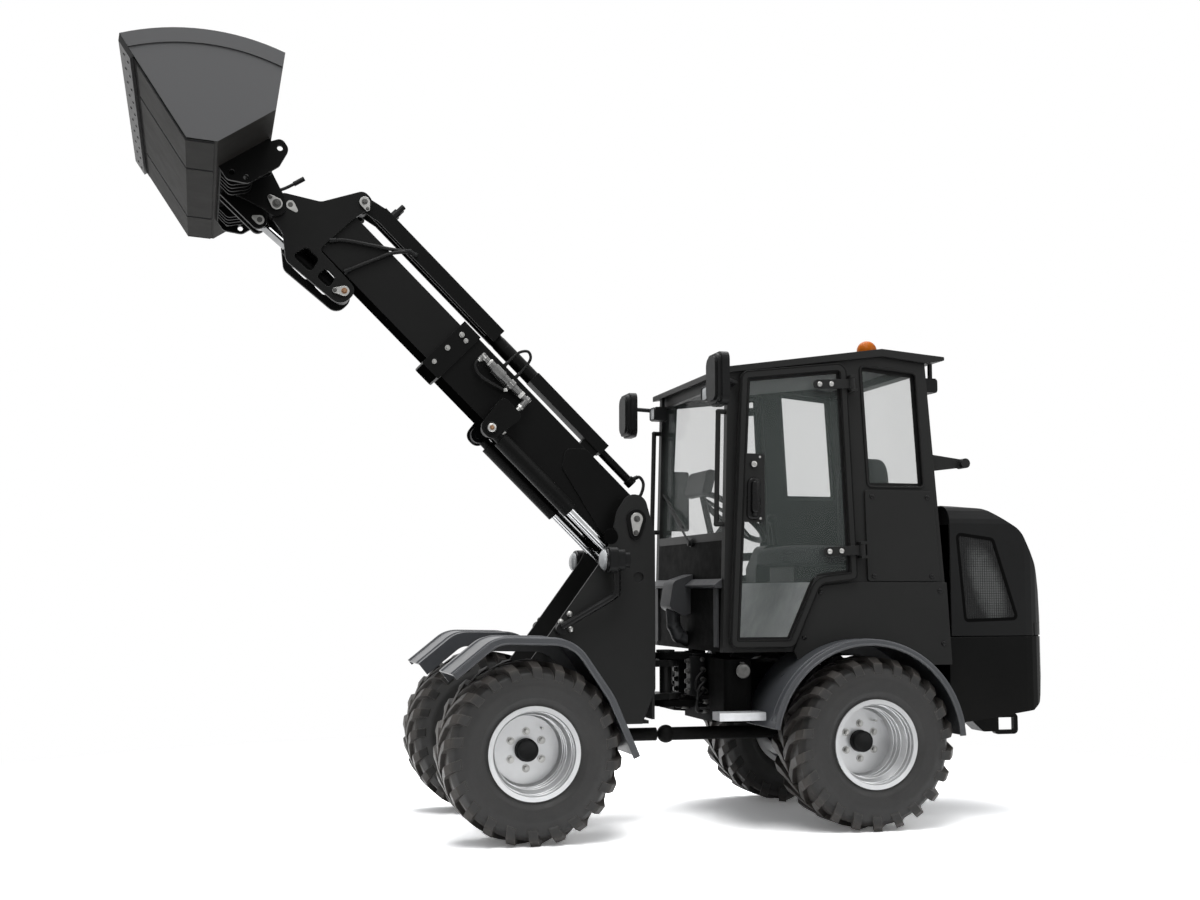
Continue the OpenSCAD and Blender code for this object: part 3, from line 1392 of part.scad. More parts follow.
// Skid plates under the floor and heel: thickness, gap between them and half width of the middle one
skid_t = 6;
skid_gap = 26;
skid_half = 430;
function flat_point(p) = [p.x, p.y, 0];
module bucket() {
    y = bucket_w / 2;
    cheek_y = y - strip_t;
    wrap = [bucket_top, bucket_shoulder, bucket_knee, bucket_heel, bucket_lip];
    outer = [for (p = wrap) flat_point(p)];
    color(paint) in_row() in_bucket() {
        both_sides() {
            across_plate(cheek_y - cheek_t, cheek_y) cheek_shape();
            across_plate(cheek_y - 1, y) difference() {
                cheek_shape();
                translate(edge_middle) circle(edge_r - strip_w, $fn = 180);
            }
        }
        // Shell between the cheeks: the wrap and the same wrap moved inward
        side_plate(-cheek_y + 1, cheek_y - 1, concat(outer, [for (p = bucket_inside()) flat_point(p)]));
        // Skid plates
        skid_plate(-skid_half, skid_half);
        both_sides() skid_plate(skid_half + skid_gap, cheek_y - skid_gap);
    }
}
// Plate with any shape in X and Z, from y0 to y1
module across_plate(y0, y1) {
    translate([0, y1, 0]) rotate([90, 0, 0]) linear_extrude(y1 - y0) children();
}
module cheek_shape() {
    polygon(concat([bucket_shoulder, bucket_knee, bucket_heel], cheek_edge(16)));
}
// Plate folded round the heel
module skid_plate(y0, y1) {
    run_in = unit(bucket_heel - bucket_knee);
    under = [
        flat_point(bucket_knee + 12 * run_in), flat_point(bucket_heel),
        [bucket_lip.x - edge_len - skid_gap, bucket_low, 0]
    ];
    over = [for (p = beside(under, -skid_t)) flat_point(p)];
    side_plate(y0, y1, concat(under, [over[2], over[1], over[0]]));
}
function bucket_inside() =
    let (
        p = inset([
            flat_point(bucket_shoulder), flat_point(bucket_knee), flat_point(bucket_heel),
            flat_point(bucket_lip), flat_point(bucket_top)
        ], shell_t),
        lip = [bucket_lip.x, bucket_low + shell_t],
        top_dir = unit(bucket_top - bucket_shoulder),
        top = bucket_top + shell_t * [top_dir.y, -top_dir.x]
    )
    [lip, [p[2].x, p[2].y], [p[1].x, p[1].y], [p[0].x, p[0].y], top];
module cutting_edge() {
    y = bucket_w / 2;
    color("#3a3a3a") in_row() in_bucket() side_plate(-y, y, [
        [bucket_lip.x - edge_len, bucket_low - edge_t, 0], [bucket_lip.x - 25, bucket_low - edge_t, 0],
        [bucket_lip.x, bucket_low, 0], [bucket_lip.x - edge_len, bucket_low, 0]
    ]);
}

rear_chassis();
rear_axle();
engine_block();
counterweight();
tow_ring();
side_tanks();
steps();
cab_frame();
cab_tub();
cab_roof();
cab_end_panels();
quarter_panels();
side_skirts();
cab_glass();
seat_base();
seat();
steering();
console();
rear_fenders();
mirrors();
beacon();
work_lamps();
duct_cover();
door_left();
door_left_glass();
door_right();
door_right_glass();
hood();
hood_grilles();
tower();
front_axle();
front_fenders();
headlamps();
tyre_front_left();
rim_front_left();
tyre_front_right();
rim_front_right();
tyre_rear_left();
rim_rear_left();
tyre_rear_right();
rim_rear_right();
boom_outer();
telescope_barrel();
boom_valve();
boom_inner();
boom_head();
telescope_guard();
telescope_rod();
hydraulic_couplers();
lift_barrels();
lift_rods();
tilt_barrel();
tilt_rod();
hitch();
bucket();
cutting_edge();
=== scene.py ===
"""Looks of a compact telescopic wheel loader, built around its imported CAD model.

Everything is in metres, in the CAD frame: X forward, Y to the driver's left, Z up.
Detail is drawn in millimetres in one of three working frames, ROW, BOOM and BUCKET.
"""
import json
import math

import bmesh
import bpy
from mathutils import Matrix, Vector


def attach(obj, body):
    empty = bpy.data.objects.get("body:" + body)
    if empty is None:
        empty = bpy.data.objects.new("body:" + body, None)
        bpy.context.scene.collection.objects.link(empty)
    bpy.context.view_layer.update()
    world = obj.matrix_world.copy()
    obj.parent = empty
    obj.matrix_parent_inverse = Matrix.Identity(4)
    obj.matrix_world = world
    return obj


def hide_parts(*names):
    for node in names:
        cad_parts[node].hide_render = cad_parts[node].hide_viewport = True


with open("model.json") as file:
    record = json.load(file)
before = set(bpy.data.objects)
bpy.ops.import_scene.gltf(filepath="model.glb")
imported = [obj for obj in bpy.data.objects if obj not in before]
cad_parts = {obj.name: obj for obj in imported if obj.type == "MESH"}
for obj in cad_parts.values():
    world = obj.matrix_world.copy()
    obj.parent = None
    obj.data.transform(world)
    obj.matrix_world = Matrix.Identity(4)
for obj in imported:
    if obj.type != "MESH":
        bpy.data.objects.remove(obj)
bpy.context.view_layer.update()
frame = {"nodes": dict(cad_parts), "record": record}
NODES = frame["nodes"]
RECORD = frame["record"]
JOINTS = {joint["name"]: joint for joint in RECORD["behaviour"]["joints"]}

# Places that the frame gives

ACROSS = Vector((0.0, 1.0, 0.0))
ALONG = Vector(JOINTS["telescope"]["axis"]).normalized()
UPWARD = ALONG.cross(ACROSS).normalized()
if UPWARD.z < 0:
    UPWARD.negate()
PIVOT = Vector(JOINTS["boom_lift"]["pos_m"])
BUCKET_PIN = Vector(JOINTS["bucket_tilt"]["pos_m"])
REAR_AXLE_X = JOINTS["wheel_rear_left_spin"]["pos_m"][0]
FLOOR_ANGLE = math.radians(12.0)
MM = Matrix.Scale(0.001, 4)


def working_frame(origin, ahead, upward):
    """Millimetres from origin, with X along ahead and Z along upward."""
    return Matrix.Translation(origin) @ Matrix((ahead, ACROSS, upward)).transposed().to_4x4() @ MM


# The rear axle is at X = 0 in ROW, the boom pivot in BOOM and the bucket pin in BUCKET
ROW = Matrix.Translation((REAR_AXLE_X, 0.0, 0.0)) @ MM
BOOM = working_frame(PIVOT, ALONG, UPWARD)
BUCKET = working_frame(
    BUCKET_PIN,
    ALONG * math.cos(FLOOR_ANGLE) + UPWARD * math.sin(FLOOR_ANGLE),
    UPWARD * math.cos(FLOOR_ANGLE) - ALONG * math.sin(FLOOR_ANGLE))


# Camera

def put(name, data):
    """A new object in the scene."""
    made = bpy.data.objects.new(name, data)
    bpy.context.scene.collection.objects.link(made)
    return made


def make_camera():
    """Camera at the photograph's place: to the left of the machine, low, looking slightly up."""
    lens_mm, sensor_mm = 45.37, 36.0
    yaw, pitch = 0.2589, 0.0941
    place = Vector((REAR_AXLE_X + 3.0574, 7.2204, 1.0999))
    ahead = Vector((-math.sin(yaw) * math.cos(pitch), -math.cos(yaw) * math.cos(pitch), math.sin(pitch)))
    data = bpy.data.cameras.new("camera")
    data.lens = lens_mm
    data.sensor_width = sensor_mm
    data.sensor_fit = "HORIZONTAL"
    camera = put("camera", data)
    camera.location = place
    camera.rotation_euler = ahead.to_track_quat("-Z", "Y").to_euler()
    bpy.context.scene.camera = camera


# Node trees

WHITE = (1.0, 1.0, 1.0, 1.0)


def grey(level):
    return (level, level, level)


class Graph:
    """A node tree, with short ways to add nodes and to join them."""

    def __init__(self, tree):
        self.tree = tree

    def feed(self, node, inputs):
        """Sets a node's inputs, each to a value or to another node's output."""
        for name, value in inputs.items():
            if isinstance(value, bpy.types.NodeSocket):
                self.tree.links.new(value, node.inputs[name])
            else:
                node.inputs[name].default_value = value

    def add(self, kind, inputs, **settings):
        node = self.tree.nodes.new("ShaderNode" + kind)
        for name, value in settings.items():
            setattr(node, name, value)
        self.feed(node, inputs)
        return node

    def math(self, operation, first, second=0.0):
        return self.add("Math", {0: first, 1: second}, operation=operation).outputs[0]

    def squares(self, first, second):
        """The sum of two squares."""
        return self.math("ADD", self.math("MULTIPLY", first, first), self.math("MULTIPLY", second, second))

    def wave(self, source, pitch):
        return self.math("SINE", self.math("MULTIPLY", source, 2.0 * math.pi / pitch))

    def fade(self, source, low, high, first, last):
        """Goes smoothly from first to last while the source goes from low to high."""
        spans = {"Value": source, "From Min": low, "From Max": high, "To Min": first, "To Max": last}
        return self.add("MapRange", spans, interpolation_type="SMOOTHSTEP").outputs["Result"]

    def place(self, kind="Object"):
        """Coordinates, by default the piece's own, so that a texture moves with the piece."""
        return self.add("TexCoord", {}).outputs[kind]

    def axes(self, kind="Object"):
        """Coordinates split into X, Y and Z."""
        return self.add("SeparateXYZ", {0: self.place(kind)}).outputs

    def noise(self, scale, detail, roughness, kind="TexNoise"):
        inputs = {"Vector": self.place(), "Scale": scale, "Detail": detail, "Roughness": roughness}
        return self.add(kind, inputs).outputs[0]

    def ramp(self, source, low, high, first, last):
        """Goes from one colour to another while the source goes from low to high."""
        node = self.add("ValToRGB", {"Fac": source})
        start, end = node.color_ramp.elements
        start.position, end.position = low, high
        start.color = (*first, 1.0)
        end.color = (*last, 1.0)
        return node.outputs["Color"]

    def tint(self, factor, tone, colour):
        """Mixes a colour into a tone."""
        inputs = {"Factor": factor, "A": tone, "B": (*colour, 1.0)}
        return self.add("Mix", inputs, data_type="RGBA").outputs["Result"]

    def soft_normal(self, radius):
        """A normal that rounds sharp edges by a radius."""
        return self.add("Bevel", {"Radius": radius}, samples=4).outputs["Normal"]

    def rub_and_highlight_edges(self, tone, colour, normal):
        """Lightens the tone along edges, broken up by noise: partly rubbed edges, partly a painted highlight."""
        flat = self.add("NewGeometry", {}).outputs["Normal"]
        angle = self.add("VectorMath", {0: flat, 1: normal}, operation="DOT_PRODUCT").outputs["Value"]
        edges = self.fade(angle, 0.86, 0.985, 0.75, 0.0)
        return self.tint(self.math("MULTIPLY", edges, self.noise(25.0, 5.0, 0.7)), tone, colour)

    def relief(self, shade, height, strength, distance=0.002, normal=None):
        """Gives a shader fine bumps, on top of the rounded normal where there is one."""
        inputs = {"Height": height, "Strength": strength, "Distance": distance}
        if normal is not None:
            inputs["Normal"] = normal
        self.feed(shade, {"Normal": self.add("Bump", inputs).outputs["Normal"]})

    def seen_directly(self):
        """A socket that is 1 for what the camera sees directly, in a mirror or through glass."""
        path = self.add("LightPath", {}).outputs
        total = path["Is Camera Ray"]
        for ray in ("Is Glossy Ray", "Is Transmission Ray"):
            total = self.math("MAXIMUM", total, path[ray])
        return total


def shader(name):
    """A new material with its node tree and its Principled shader."""
    material = bpy.data.materials.new(name)
    material.use_nodes = True
    graph = Graph(material.node_tree)
    return material, graph, graph.tree.nodes["Principled BSDF"]


# Floor and light

def make_world():
    """White studio: bright behind the machine and overhead, dimmer on the camera's side."""
    world = bpy.data.worlds.new("studio")
    bpy.context.scene.world = world
    world.use_nodes = True
    world.node_tree.nodes.clear()
    graph = Graph(world.node_tree)
    ways = graph.axes("Generated")
    behind = graph.fade(ways["Y"], -0.6, 0.5, 0.30, 0.20)
    above = graph.fade(ways["Z"], 0.15, 0.8, 0.0, 0.55)
    strength = graph.math("MAXIMUM", behind, above)
    room = graph.add("Background", {"Color": (0.95, 0.97, 1.0, 1.0), "Strength": strength})
    white = graph.add("Background", {"Color": WHITE, "Strength": 1.0})
    mix = graph.add("MixShader", {0: graph.seen_directly(), 1: room.outputs[0], 2: white.outputs[0]})
    graph.add("OutputWorld", {"Surface": mix.outputs[0]})


def make_floor():
    """Pale floor that keeps the shadow and turns to the white of the background further out."""
    size = 40.0
    corners = [(-size, -size, 0), (size, -size, 0), (size, size, 0), (-size, size, 0)]
    mesh = bpy.data.meshes.new("floor")
    mesh.from_pydata(corners, [], [(0, 1, 2, 3)])
    floor = put("floor", mesh)
    material, graph, near = shader("pale_floor")
    shown = graph.seen_directly()
    graph.feed(near, {
        "Base Color": graph.tint(shown, (*grey(0.20), 1.0), grey(1.9)), "Roughness": 0.9, "Specular IOR Level": 0.1,
        "Emission Color": WHITE, "Emission Strength": graph.fade(shown, 0.0, 1.0, 0.03, 0.10)})
    far = graph.add("Emission", {"Color": WHITE, "Strength": 1.0})
    span = graph.add("VectorMath", {0: graph.place()}, operation="LENGTH").outputs["Value"]
    spread = graph.math("MULTIPLY", graph.fade(span, 1.9, 4.6, 0.0, 1.0), shown)
    mix = graph.add("MixShader", {0: spread, 1: near.outputs[0], 2: far.outputs[0]})
    graph.feed(graph.tree.nodes["Material Output"], {"Surface": mix.outputs[0]})
    mesh.materials.append(material)


def make_lamps():
    for name, place, aim, side, power in (
            ("key", (1.5, 4.6, 8.6), (0.2, 0.0, 1.4), 4.5, 330.0),
            ("fill", (-6.5, 5.0, 5.5), (-0.6, 0.0, 1.0), 5.0, 150.0),
            ("rim", (-1.5, -3.6, 8.4), (0.3, 0.0, 1.6), 5.0, 260.0),
            ("top", (0.5, 0.2, 9.0), (0.2, 0.0, 1.0), 6.0, 480.0)):
        data = bpy.data.lights.new(name, "AREA")
        data.shape = "SQUARE"
        data.size = side
        data.energy = power
        lamp = put(name, data)
        lamp.location = place
        lamp.rotation_euler = (Vector(aim) - Vector(place)).to_track_quat("-Z", "Y").to_euler()


# Materials

def surface(name, colour, light, rough, metal=0.0, patch=3.0, grain=400.0, bump=0.02, coat=0.0, specular=0.5,
            dust=None, edge_wear_and_highlight=None, soften=0.0, painted_flank_light=None, kind="TexNoise"):
    """A finish with patches of two tones, uneven gloss and a fine grain.

    Where given: dust low down, edges lightened by rubbing and a painted highlight, edges softened by a radius and a
    lighter colour of painted light on faces that look sideways.
    """
    material, graph, shade = shader(name)
    normal = graph.soft_normal(soften) if soften else None
    tone = graph.ramp(graph.noise(patch, 6.0, 0.6), 0.3, 0.75, colour, light)
    # Faces that look sideways take a lighter colour: painted light.
    if painted_flank_light:
        sideways = graph.math("ABSOLUTE", graph.axes("Normal")["Y"])
        tone = graph.tint(graph.fade(sideways, 0.5, 0.85, 0.0, 0.8), tone, painted_flank_light)
    if dust:
        low = graph.fade(graph.axes()["Z"], 0.2, 0.9, 0.10, 0.0)
        tone = graph.tint(graph.math("MULTIPLY", low, graph.noise(14.0, 8.0, 0.7)), tone, dust)
    # Edges lighter: partly rubbed paint, partly a painted highlight.
    if edge_wear_and_highlight:
        tone = graph.rub_and_highlight_edges(tone, edge_wear_and_highlight, normal)
    gloss = graph.ramp(graph.noise(patch * 6.0, 8.0, 0.65), 0.25, 0.8, grey(rough[0]), grey(rough[1]))
    graph.feed(shade, {"Base Color": tone, "Roughness": gloss, "Metallic": metal, "Specular IOR Level": specular})
    if coat:
        graph.feed(shade, {"Coat Weight": coat, "Coat Roughness": 0.15})
    graph.relief(shade, graph.noise(grain, 3.0, 0.5, kind), bump, normal=normal)
    return material


def tyre_rubber():
    """Rubber with dusty patches, a scuffed tread, lug edges lightened by rubbing and a painted highlight, and moulded
    rings round the sidewall.
    """
    material, graph, shade = shader("tyre_rubber")
    tone = graph.ramp(graph.noise(9.0, 8.0, 0.65), 0.3, 0.75, (0.0165, 0.0162, 0.0158), (0.027, 0.0262, 0.0253))
    place = graph.axes()
    radii = []
    for end in ("rear", "front"):
        axle = JOINTS[f"wheel_{end}_left_spin"]["pos_m"]
        dx = graph.math("SUBTRACT", place["X"], axle[0])
        dz = graph.math("SUBTRACT", place["Z"], axle[2])
        radii.append(graph.math("SQRT", graph.squares(dx, dz)))
    nearest = graph.math("MINIMUM", *radii)
    tread = graph.fade(nearest, 0.350, 0.392, 0.0, 0.75)
    scuff = graph.math("MULTIPLY", tread, graph.noise(22.0, 6.0, 0.7))
    tone = graph.tint(scuff, tone, (0.125, 0.110, 0.097))
    normal = graph.soft_normal(0.006)
    # Lug edges lighter: partly rubbed rubber, partly a painted highlight.
    tone = graph.rub_and_highlight_edges(tone, (0.20, 0.18, 0.165), normal)
    gloss = graph.ramp(graph.noise(40.0, 6.0, 0.6), 0.25, 0.8, grey(0.42), grey(0.62))
    graph.feed(shade, {"Base Color": tone, "Roughness": gloss, "Specular IOR Level": 0.35})
    wall = graph.fade(nearest, 0.315, 0.33, 1.0, 0.0)
    rings = graph.math("MULTIPLY", graph.math("GREATER_THAN", graph.wave(nearest, 0.016), 0.93), wall)
    height = graph.math("ADD", graph.math("MULTIPLY", rings, 0.5), graph.noise(420.0, 3.0, 0.6))
    graph.relief(shade, height, 0.22, normal=normal)
    return material


def vent_screen():
    """Fine wire screen: dark, with one soft patch of painted light standing in for the lit works behind it, and painted
    shade in the holes between the wires.
    """
    material, graph, shade = shader("vent_screen")
    place = graph.axes()
    upward = graph.math("SUBTRACT", place["Z"], 1.14)
    across = graph.math("SUBTRACT", place["X"], REAR_AXLE_X - 0.690)
    offset = graph.math("SUBTRACT", across, graph.math("MULTIPLY", upward, 0.30))
    span = graph.squares(graph.math("DIVIDE", offset, 0.085), graph.math("DIVIDE", upward, 0.20))
    # Painted light: a soft pale patch standing in for the lit works behind the screen.
    ragged = graph.math("ADD", span, graph.math("MULTIPLY", graph.noise(14.0, 4.0, 0.6), 0.9))
    patch = graph.fade(ragged, 0.55, 1.85, 1.0, 0.0)
    tone = graph.ramp(patch, 0.0, 1.0, (0.0085, 0.0088, 0.0090), (0.165, 0.170, 0.167))
    wires = graph.math("MAXIMUM", graph.wave(place["X"], 0.0055), graph.wave(place["Z"], 0.0055))
    # Painted shade in the holes between the wires.
    shaded_holes = graph.fade(wires, 0.2, 0.8, 1.0, 0.0)
    tone = graph.tint(graph.math("MULTIPLY", shaded_holes, 0.45), tone, grey(0.004))
    graph.feed(shade, {"Base Color": tone, "Roughness": 0.45, "Specular IOR Level": 0.2})
    graph.relief(shade, wires, 0.3, 0.001)
    return material


def glass(name, colour, alpha):
    """Clear pane: mostly open, with a tint and a clean reflection."""
    material, graph, shade = shader(name)
    tone = graph.ramp(graph.noise(5.0, 4.0, 0.6), 0.3, 0.8, colour, [0.9 * part for part in colour])
    gloss = graph.ramp(graph.noise(20.0, 4.0, 0.6), 0.3, 0.8, grey(0.02), grey(0.06))
    graph.feed(shade, {"Base Color": tone, "Roughness": gloss, "Alpha": alpha, "IOR": 1.5})
    return material


DIRT = (0.09, 0.083, 0.074)
# Lighter grey of edges: partly rubbed paint, partly a painted highlight.
WORN_EDGE_HIGHLIGHT = grey(0.075)
# Finish: colour, lighter colour of its patches, lowest and highest roughness, other values of surface
FINISHES = {
    "black_paint": ((0.0062, 0.0063, 0.0062), (0.0082, 0.0083, 0.0081), (0.30, 0.36), dict(
        specular=0.055, bump=0.008, dust=DIRT, edge_wear_and_highlight=WORN_EDGE_HIGHLIGHT, soften=0.003)),
    # A lighter copy of the black paint, for the cab, tower, doors and skirts: painted light.
    "cab_black_painted_light": ((0.0205, 0.0207, 0.0203), (0.0235, 0.0237, 0.0232), (0.38, 0.44), dict(
        specular=0.12, bump=0.008, edge_wear_and_highlight=WORN_EDGE_HIGHLIGHT, soften=0.003)),
    # A lighter copy of the black paint, for the inner boom and its head: painted light.
    "boom_black_painted_light": ((0.0105, 0.0106, 0.0104), (0.0140, 0.0141, 0.0138), (0.28, 0.36), dict(
        specular=0.08, patch=2.0, bump=0.008, edge_wear_and_highlight=WORN_EDGE_HIGHLIGHT, soften=0.003)),
    # On the bucket, faces that look sideways take a lighter colour: painted light.
    "bucket_paint": ((0.0250, 0.0240, 0.0225), (0.0350, 0.0335, 0.0310), (0.42, 0.50), dict(
        specular=0.02, patch=1.5, bump=0.006, edge_wear_and_highlight=WORN_EDGE_HIGHLIGHT, soften=0.003, painted_flank_light=(0.182, 0.183, 0.186))),
    "grey_plastic": ((0.040, 0.041, 0.043), (0.056, 0.057, 0.060), (0.42, 0.55), dict(
        specular=0.2, grain=700.0, bump=0.06)),
    "axle_paint": ((0.0045, 0.0045, 0.0047), grey(0.009), (0.5, 0.7), dict(specular=0.08, bump=0.06, dust=DIRT)),
    # Near-black sheets laid under the boom: painted shade.
    "painted_shade_film": ((0.0040, 0.0040, 0.0038), (0.0065, 0.0064, 0.0060), (0.6, 0.8), dict(
        specular=0.0, patch=12.0, bump=0.05)),
    "lining_grey": ((0.40, 0.41, 0.405), (0.48, 0.49, 0.485), (0.6, 0.8), dict(
        specular=0.2, patch=6.0, grain=900.0, bump=0.1)),
    # A near-black copy of the black paint: painted shade.
    "painted_shade_black": (grey(0.0016), grey(0.0030), (0.5, 0.7), dict(specular=0.03, bump=0.03)),
    "black_plastic": ((0.0060, 0.0062, 0.0064), (0.0095, 0.0098, 0.0100), (0.38, 0.48), dict(
        specular=0.13, grain=900.0, bump=0.06, soften=0.003)),
    "fender_plastic": ((0.064, 0.067, 0.073), (0.082, 0.0855, 0.093), (0.26, 0.36), dict(
        specular=0.42, grain=900.0, bump=0.04, soften=0.004)),
    "dark_mesh": ((0.0035, 0.0035, 0.0037), (0.0060, 0.0060, 0.0062), (0.24, 0.32), dict(
        specular=0.16, grain=600.0, bump=0.03)),
    "hose_rubber": (grey(0.0045), grey(0.009), (0.42, 0.6), dict(specular=0.16, patch=20.0, grain=900.0, bump=0.2)),
    "step_metal": ((0.50, 0.51, 0.52), (0.70, 0.71, 0.72), (0.28, 0.5), dict(
        metal=0.75, patch=9.0, grain=200.0, bump=0.08)),
    "seat_cover": ((0.013, 0.013, 0.014), (0.032, 0.032, 0.034), (0.7, 0.9), dict(
        patch=30.0, grain=700.0, bump=0.5)),
    "floor_mat": ((0.36, 0.37, 0.37), (0.54, 0.55, 0.55), (0.55, 0.75), dict(
        patch=8.0, grain=260.0, bump=0.35, kind="TexVoronoi")),
    "amber_lens": ((0.34, 0.080, 0.003), (0.42, 0.105, 0.006), (0.22, 0.32), dict(
        patch=12.0, grain=60.0, specular=0.08)),
    "rim_paint": ((0.51, 0.515, 0.52), (0.59, 0.595, 0.60), (0.30, 0.38), dict(
        metal=0.55, patch=7.0, grain=700.0, bump=0.03, coat=0.2)),
    "chrome_rod": ((0.36, 0.365, 0.37), (0.48, 0.485, 0.49), (0.10, 0.16), dict(
        metal=1.0, patch=12.0, grain=300.0, bump=0.01)),
    "zinc_steel": ((0.30, 0.30, 0.29), (0.46, 0.455, 0.44), (0.26, 0.42), dict(
        metal=0.8, patch=25.0, grain=300.0, bump=0.06)),
    "bolt_steel": ((0.060, 0.060, 0.058), (0.115, 0.113, 0.108), (0.28, 0.42), dict(
        metal=0.7, patch=40.0, grain=300.0, bump=0.05)),
    "valve_grey": (grey(0.10), (0.17, 0.17, 0.165), (0.35, 0.5), dict(
        metal=0.5, patch=30.0, grain=300.0, bump=0.05)),
    "rusty_bolt": ((0.20, 0.10, 0.05), (0.34, 0.20, 0.11), (0.5, 0.7), dict(
        metal=0.5, patch=60.0, grain=500.0, bump=0.15)),
    "edge_steel": ((0.007, 0.007, 0.0072), grey(0.018), (0.35, 0.5), dict(
        metal=0.2, specular=0.35, patch=8.0, grain=250.0, bump=0.06)),
    "mirror_face": ((0.72, 0.74, 0.75), (0.80, 0.81, 0.82), (0.02, 0.05), dict(
        metal=1.0, patch=4.0, grain=50.0, bump=0.003)),
}
MATERIALS = {}


def make_materials():
    for name, (colour, light, rough, values) in FINISHES.items():
        MATERIALS[name] = surface(name, colour, light, rough, **values)
    MATERIALS["clear_glass"] = glass("clear_glass", (0.222, 0.262, 0.246), 0.140)
    # Lamp lenses are pale: painted light on clear glass.
    MATERIALS["lamp_glass"] = glass("lamp_glass", (0.86, 0.88, 0.89), 0.60)
    MATERIALS["tyre_rubber"] = tyre_rubber()
    MATERIALS["vent_screen"] = vent_screen()


def by_member(groups):
    """Turns a table of groups into one that names the group of each member."""
    return {member: name for name, members in groups.items() for member in members}


SLOT_OF_NODE = {part["node"]: part["material_slot"] for part in RECORD["subparts"]}
# Nodes whose finish is a variant of their slot's; the lighter and the near-black copies of the black paint carry
# painted light and painted shade
FINISH_OF_NODE = by_member({
    "painted_shade_black": ("hood_grilles", "side_tanks", "cab_end_panels", "rear_chassis", "engine_block"),
    "cab_black_painted_light": ("tower", "cab_frame", "cab_roof", "quarter_panels", "side_skirts", "door_left", "door_right"),
    "boom_black_painted_light": ("boom_inner", "boom_head"),
    "fender_plastic": ("front_fenders", "rear_fenders"),
    "floor_mat": ("cab_tub",),
    "grey_plastic": ("duct_cover",),
    "valve_grey": ("boom_valve",),
    "dark_mesh": ("hydraulic_couplers",),
    "edge_steel": ("telescope_rod",),
    "bucket_paint": ("bucket",)})


def dress_nodes():
    """Gives every CAD node the material of its slot, or its variant."""
    for name, node in NODES.items():
        node.data.materials.clear()
        node.data.materials.append(MATERIALS[FINISH_OF_NODE.get(name, SLOT_OF_NODE[name])])


# Building pieces

def rounded(points, steps=5, closed=True):
    """Outline from corners (x, z) or (x, z, radius)."""
    line = []
    count = len(points)
    for index, point in enumerate(points):
        here = Vector(point[:2])
        radius = point[2] if len(point) > 2 else 0.0
        if radius == 0.0 or (not closed and index in (0, count - 1)):
            line.append((here.x, here.y))
            continue
        back = (Vector(points[index - 1][:2]) - here).normalized()
        ahead = (Vector(points[(index + 1) % count][:2]) - here).normalized()
        half = math.acos(max(-1.0, min(1.0, back.dot(ahead)))) / 2
        reach = radius / math.tan(half)
        centre = here + (back + ahead).normalized() * (radius / math.sin(half))
        start = here + back * reach - centre
        end = here + ahead * reach - centre
        sweep = start.angle_signed(end)
        for step in range(steps + 1):
            turned = start.copy()
            turned.rotate(Matrix.Rotation(-sweep * step / steps, 2))
            line.append(tuple(centre + turned))
    return line


def inset(points, distance):
    """The corners of an outline moved inward by a distance, with radii that keep the gap even."""
    count = len(points)
    area = sum(points[i][0] * points[(i + 1) % count][1] - points[(i + 1) % count][0] * points[i][1]
               for i in range(count))
    turn = 1.0 if area > 0 else -1.0
    result = []
    for index in range(count):
        here = Vector(points[index][:2])
        before = (here - Vector(points[index - 1][:2])).normalized()
        after = (Vector(points[(index + 1) % count][:2]) - here).normalized()
        first = Vector((-before.y, before.x)) * turn
        second = Vector((-after.y, after.x)) * turn
        along = (first + second).normalized()
        moved = here + along * (distance / max(0.2, along.dot(first)))
        radius = points[index][2] if len(points[index]) > 2 else 0.0
        hollow = (before.x * after.y - before.y * after.x) * turn < 0
        result.append((moved.x, moved.y, radius + distance if hollow else max(radius - distance, 4.0)))
    return result


def smooth_path(points, steps=8):
    """A Catmull-Rom line through the points."""
    ends = [Vector(p) for p in points]
    ends = [ends[0] * 2 - ends[1]] + ends + [ends[-1] * 2 - ends[-2]]
    line = []
    for index in range(1, len(ends) - 2):
        a, b, c, d = ends[index - 1:index + 3]
        for step in range(steps):
            t = step / steps
            line.append(0.5 * (2 * b + (c - a) * t + (2 * a - 5 * b + 4 * c - d) * t ** 2
                               + (3 * b - a - 3 * c + d) * t ** 3))
    line.append(ends[-2])
    return line


def upright(axis):
    """Two unit vectors that stand square to an axis and to each other."""
    axis = Vector(axis).normalized()
    other = Vector((0, 0, 1)) if abs(axis.z) < 0.9 else Vector((1, 0, 0))
    first = axis.cross(other).normalized()
    return first, axis.cross(first).normalized()


def full_turn(count, shift=0.0):
    """Angles in equal steps round a circle."""
    return [2 * math.pi * (index + shift) / count for index in range(count)]


def at_y(outline, y):
    """Points of an outline in X and Z, at one Y."""
    return [(x, y, z) for x, z in outline]


def bow(centre, radius, turns):
    """Points of a circle in X and Z at the given angles."""
    return [(centre[0] + radius * math.cos(turn), centre[1] + radius * math.sin(turn)) for turn in turns]


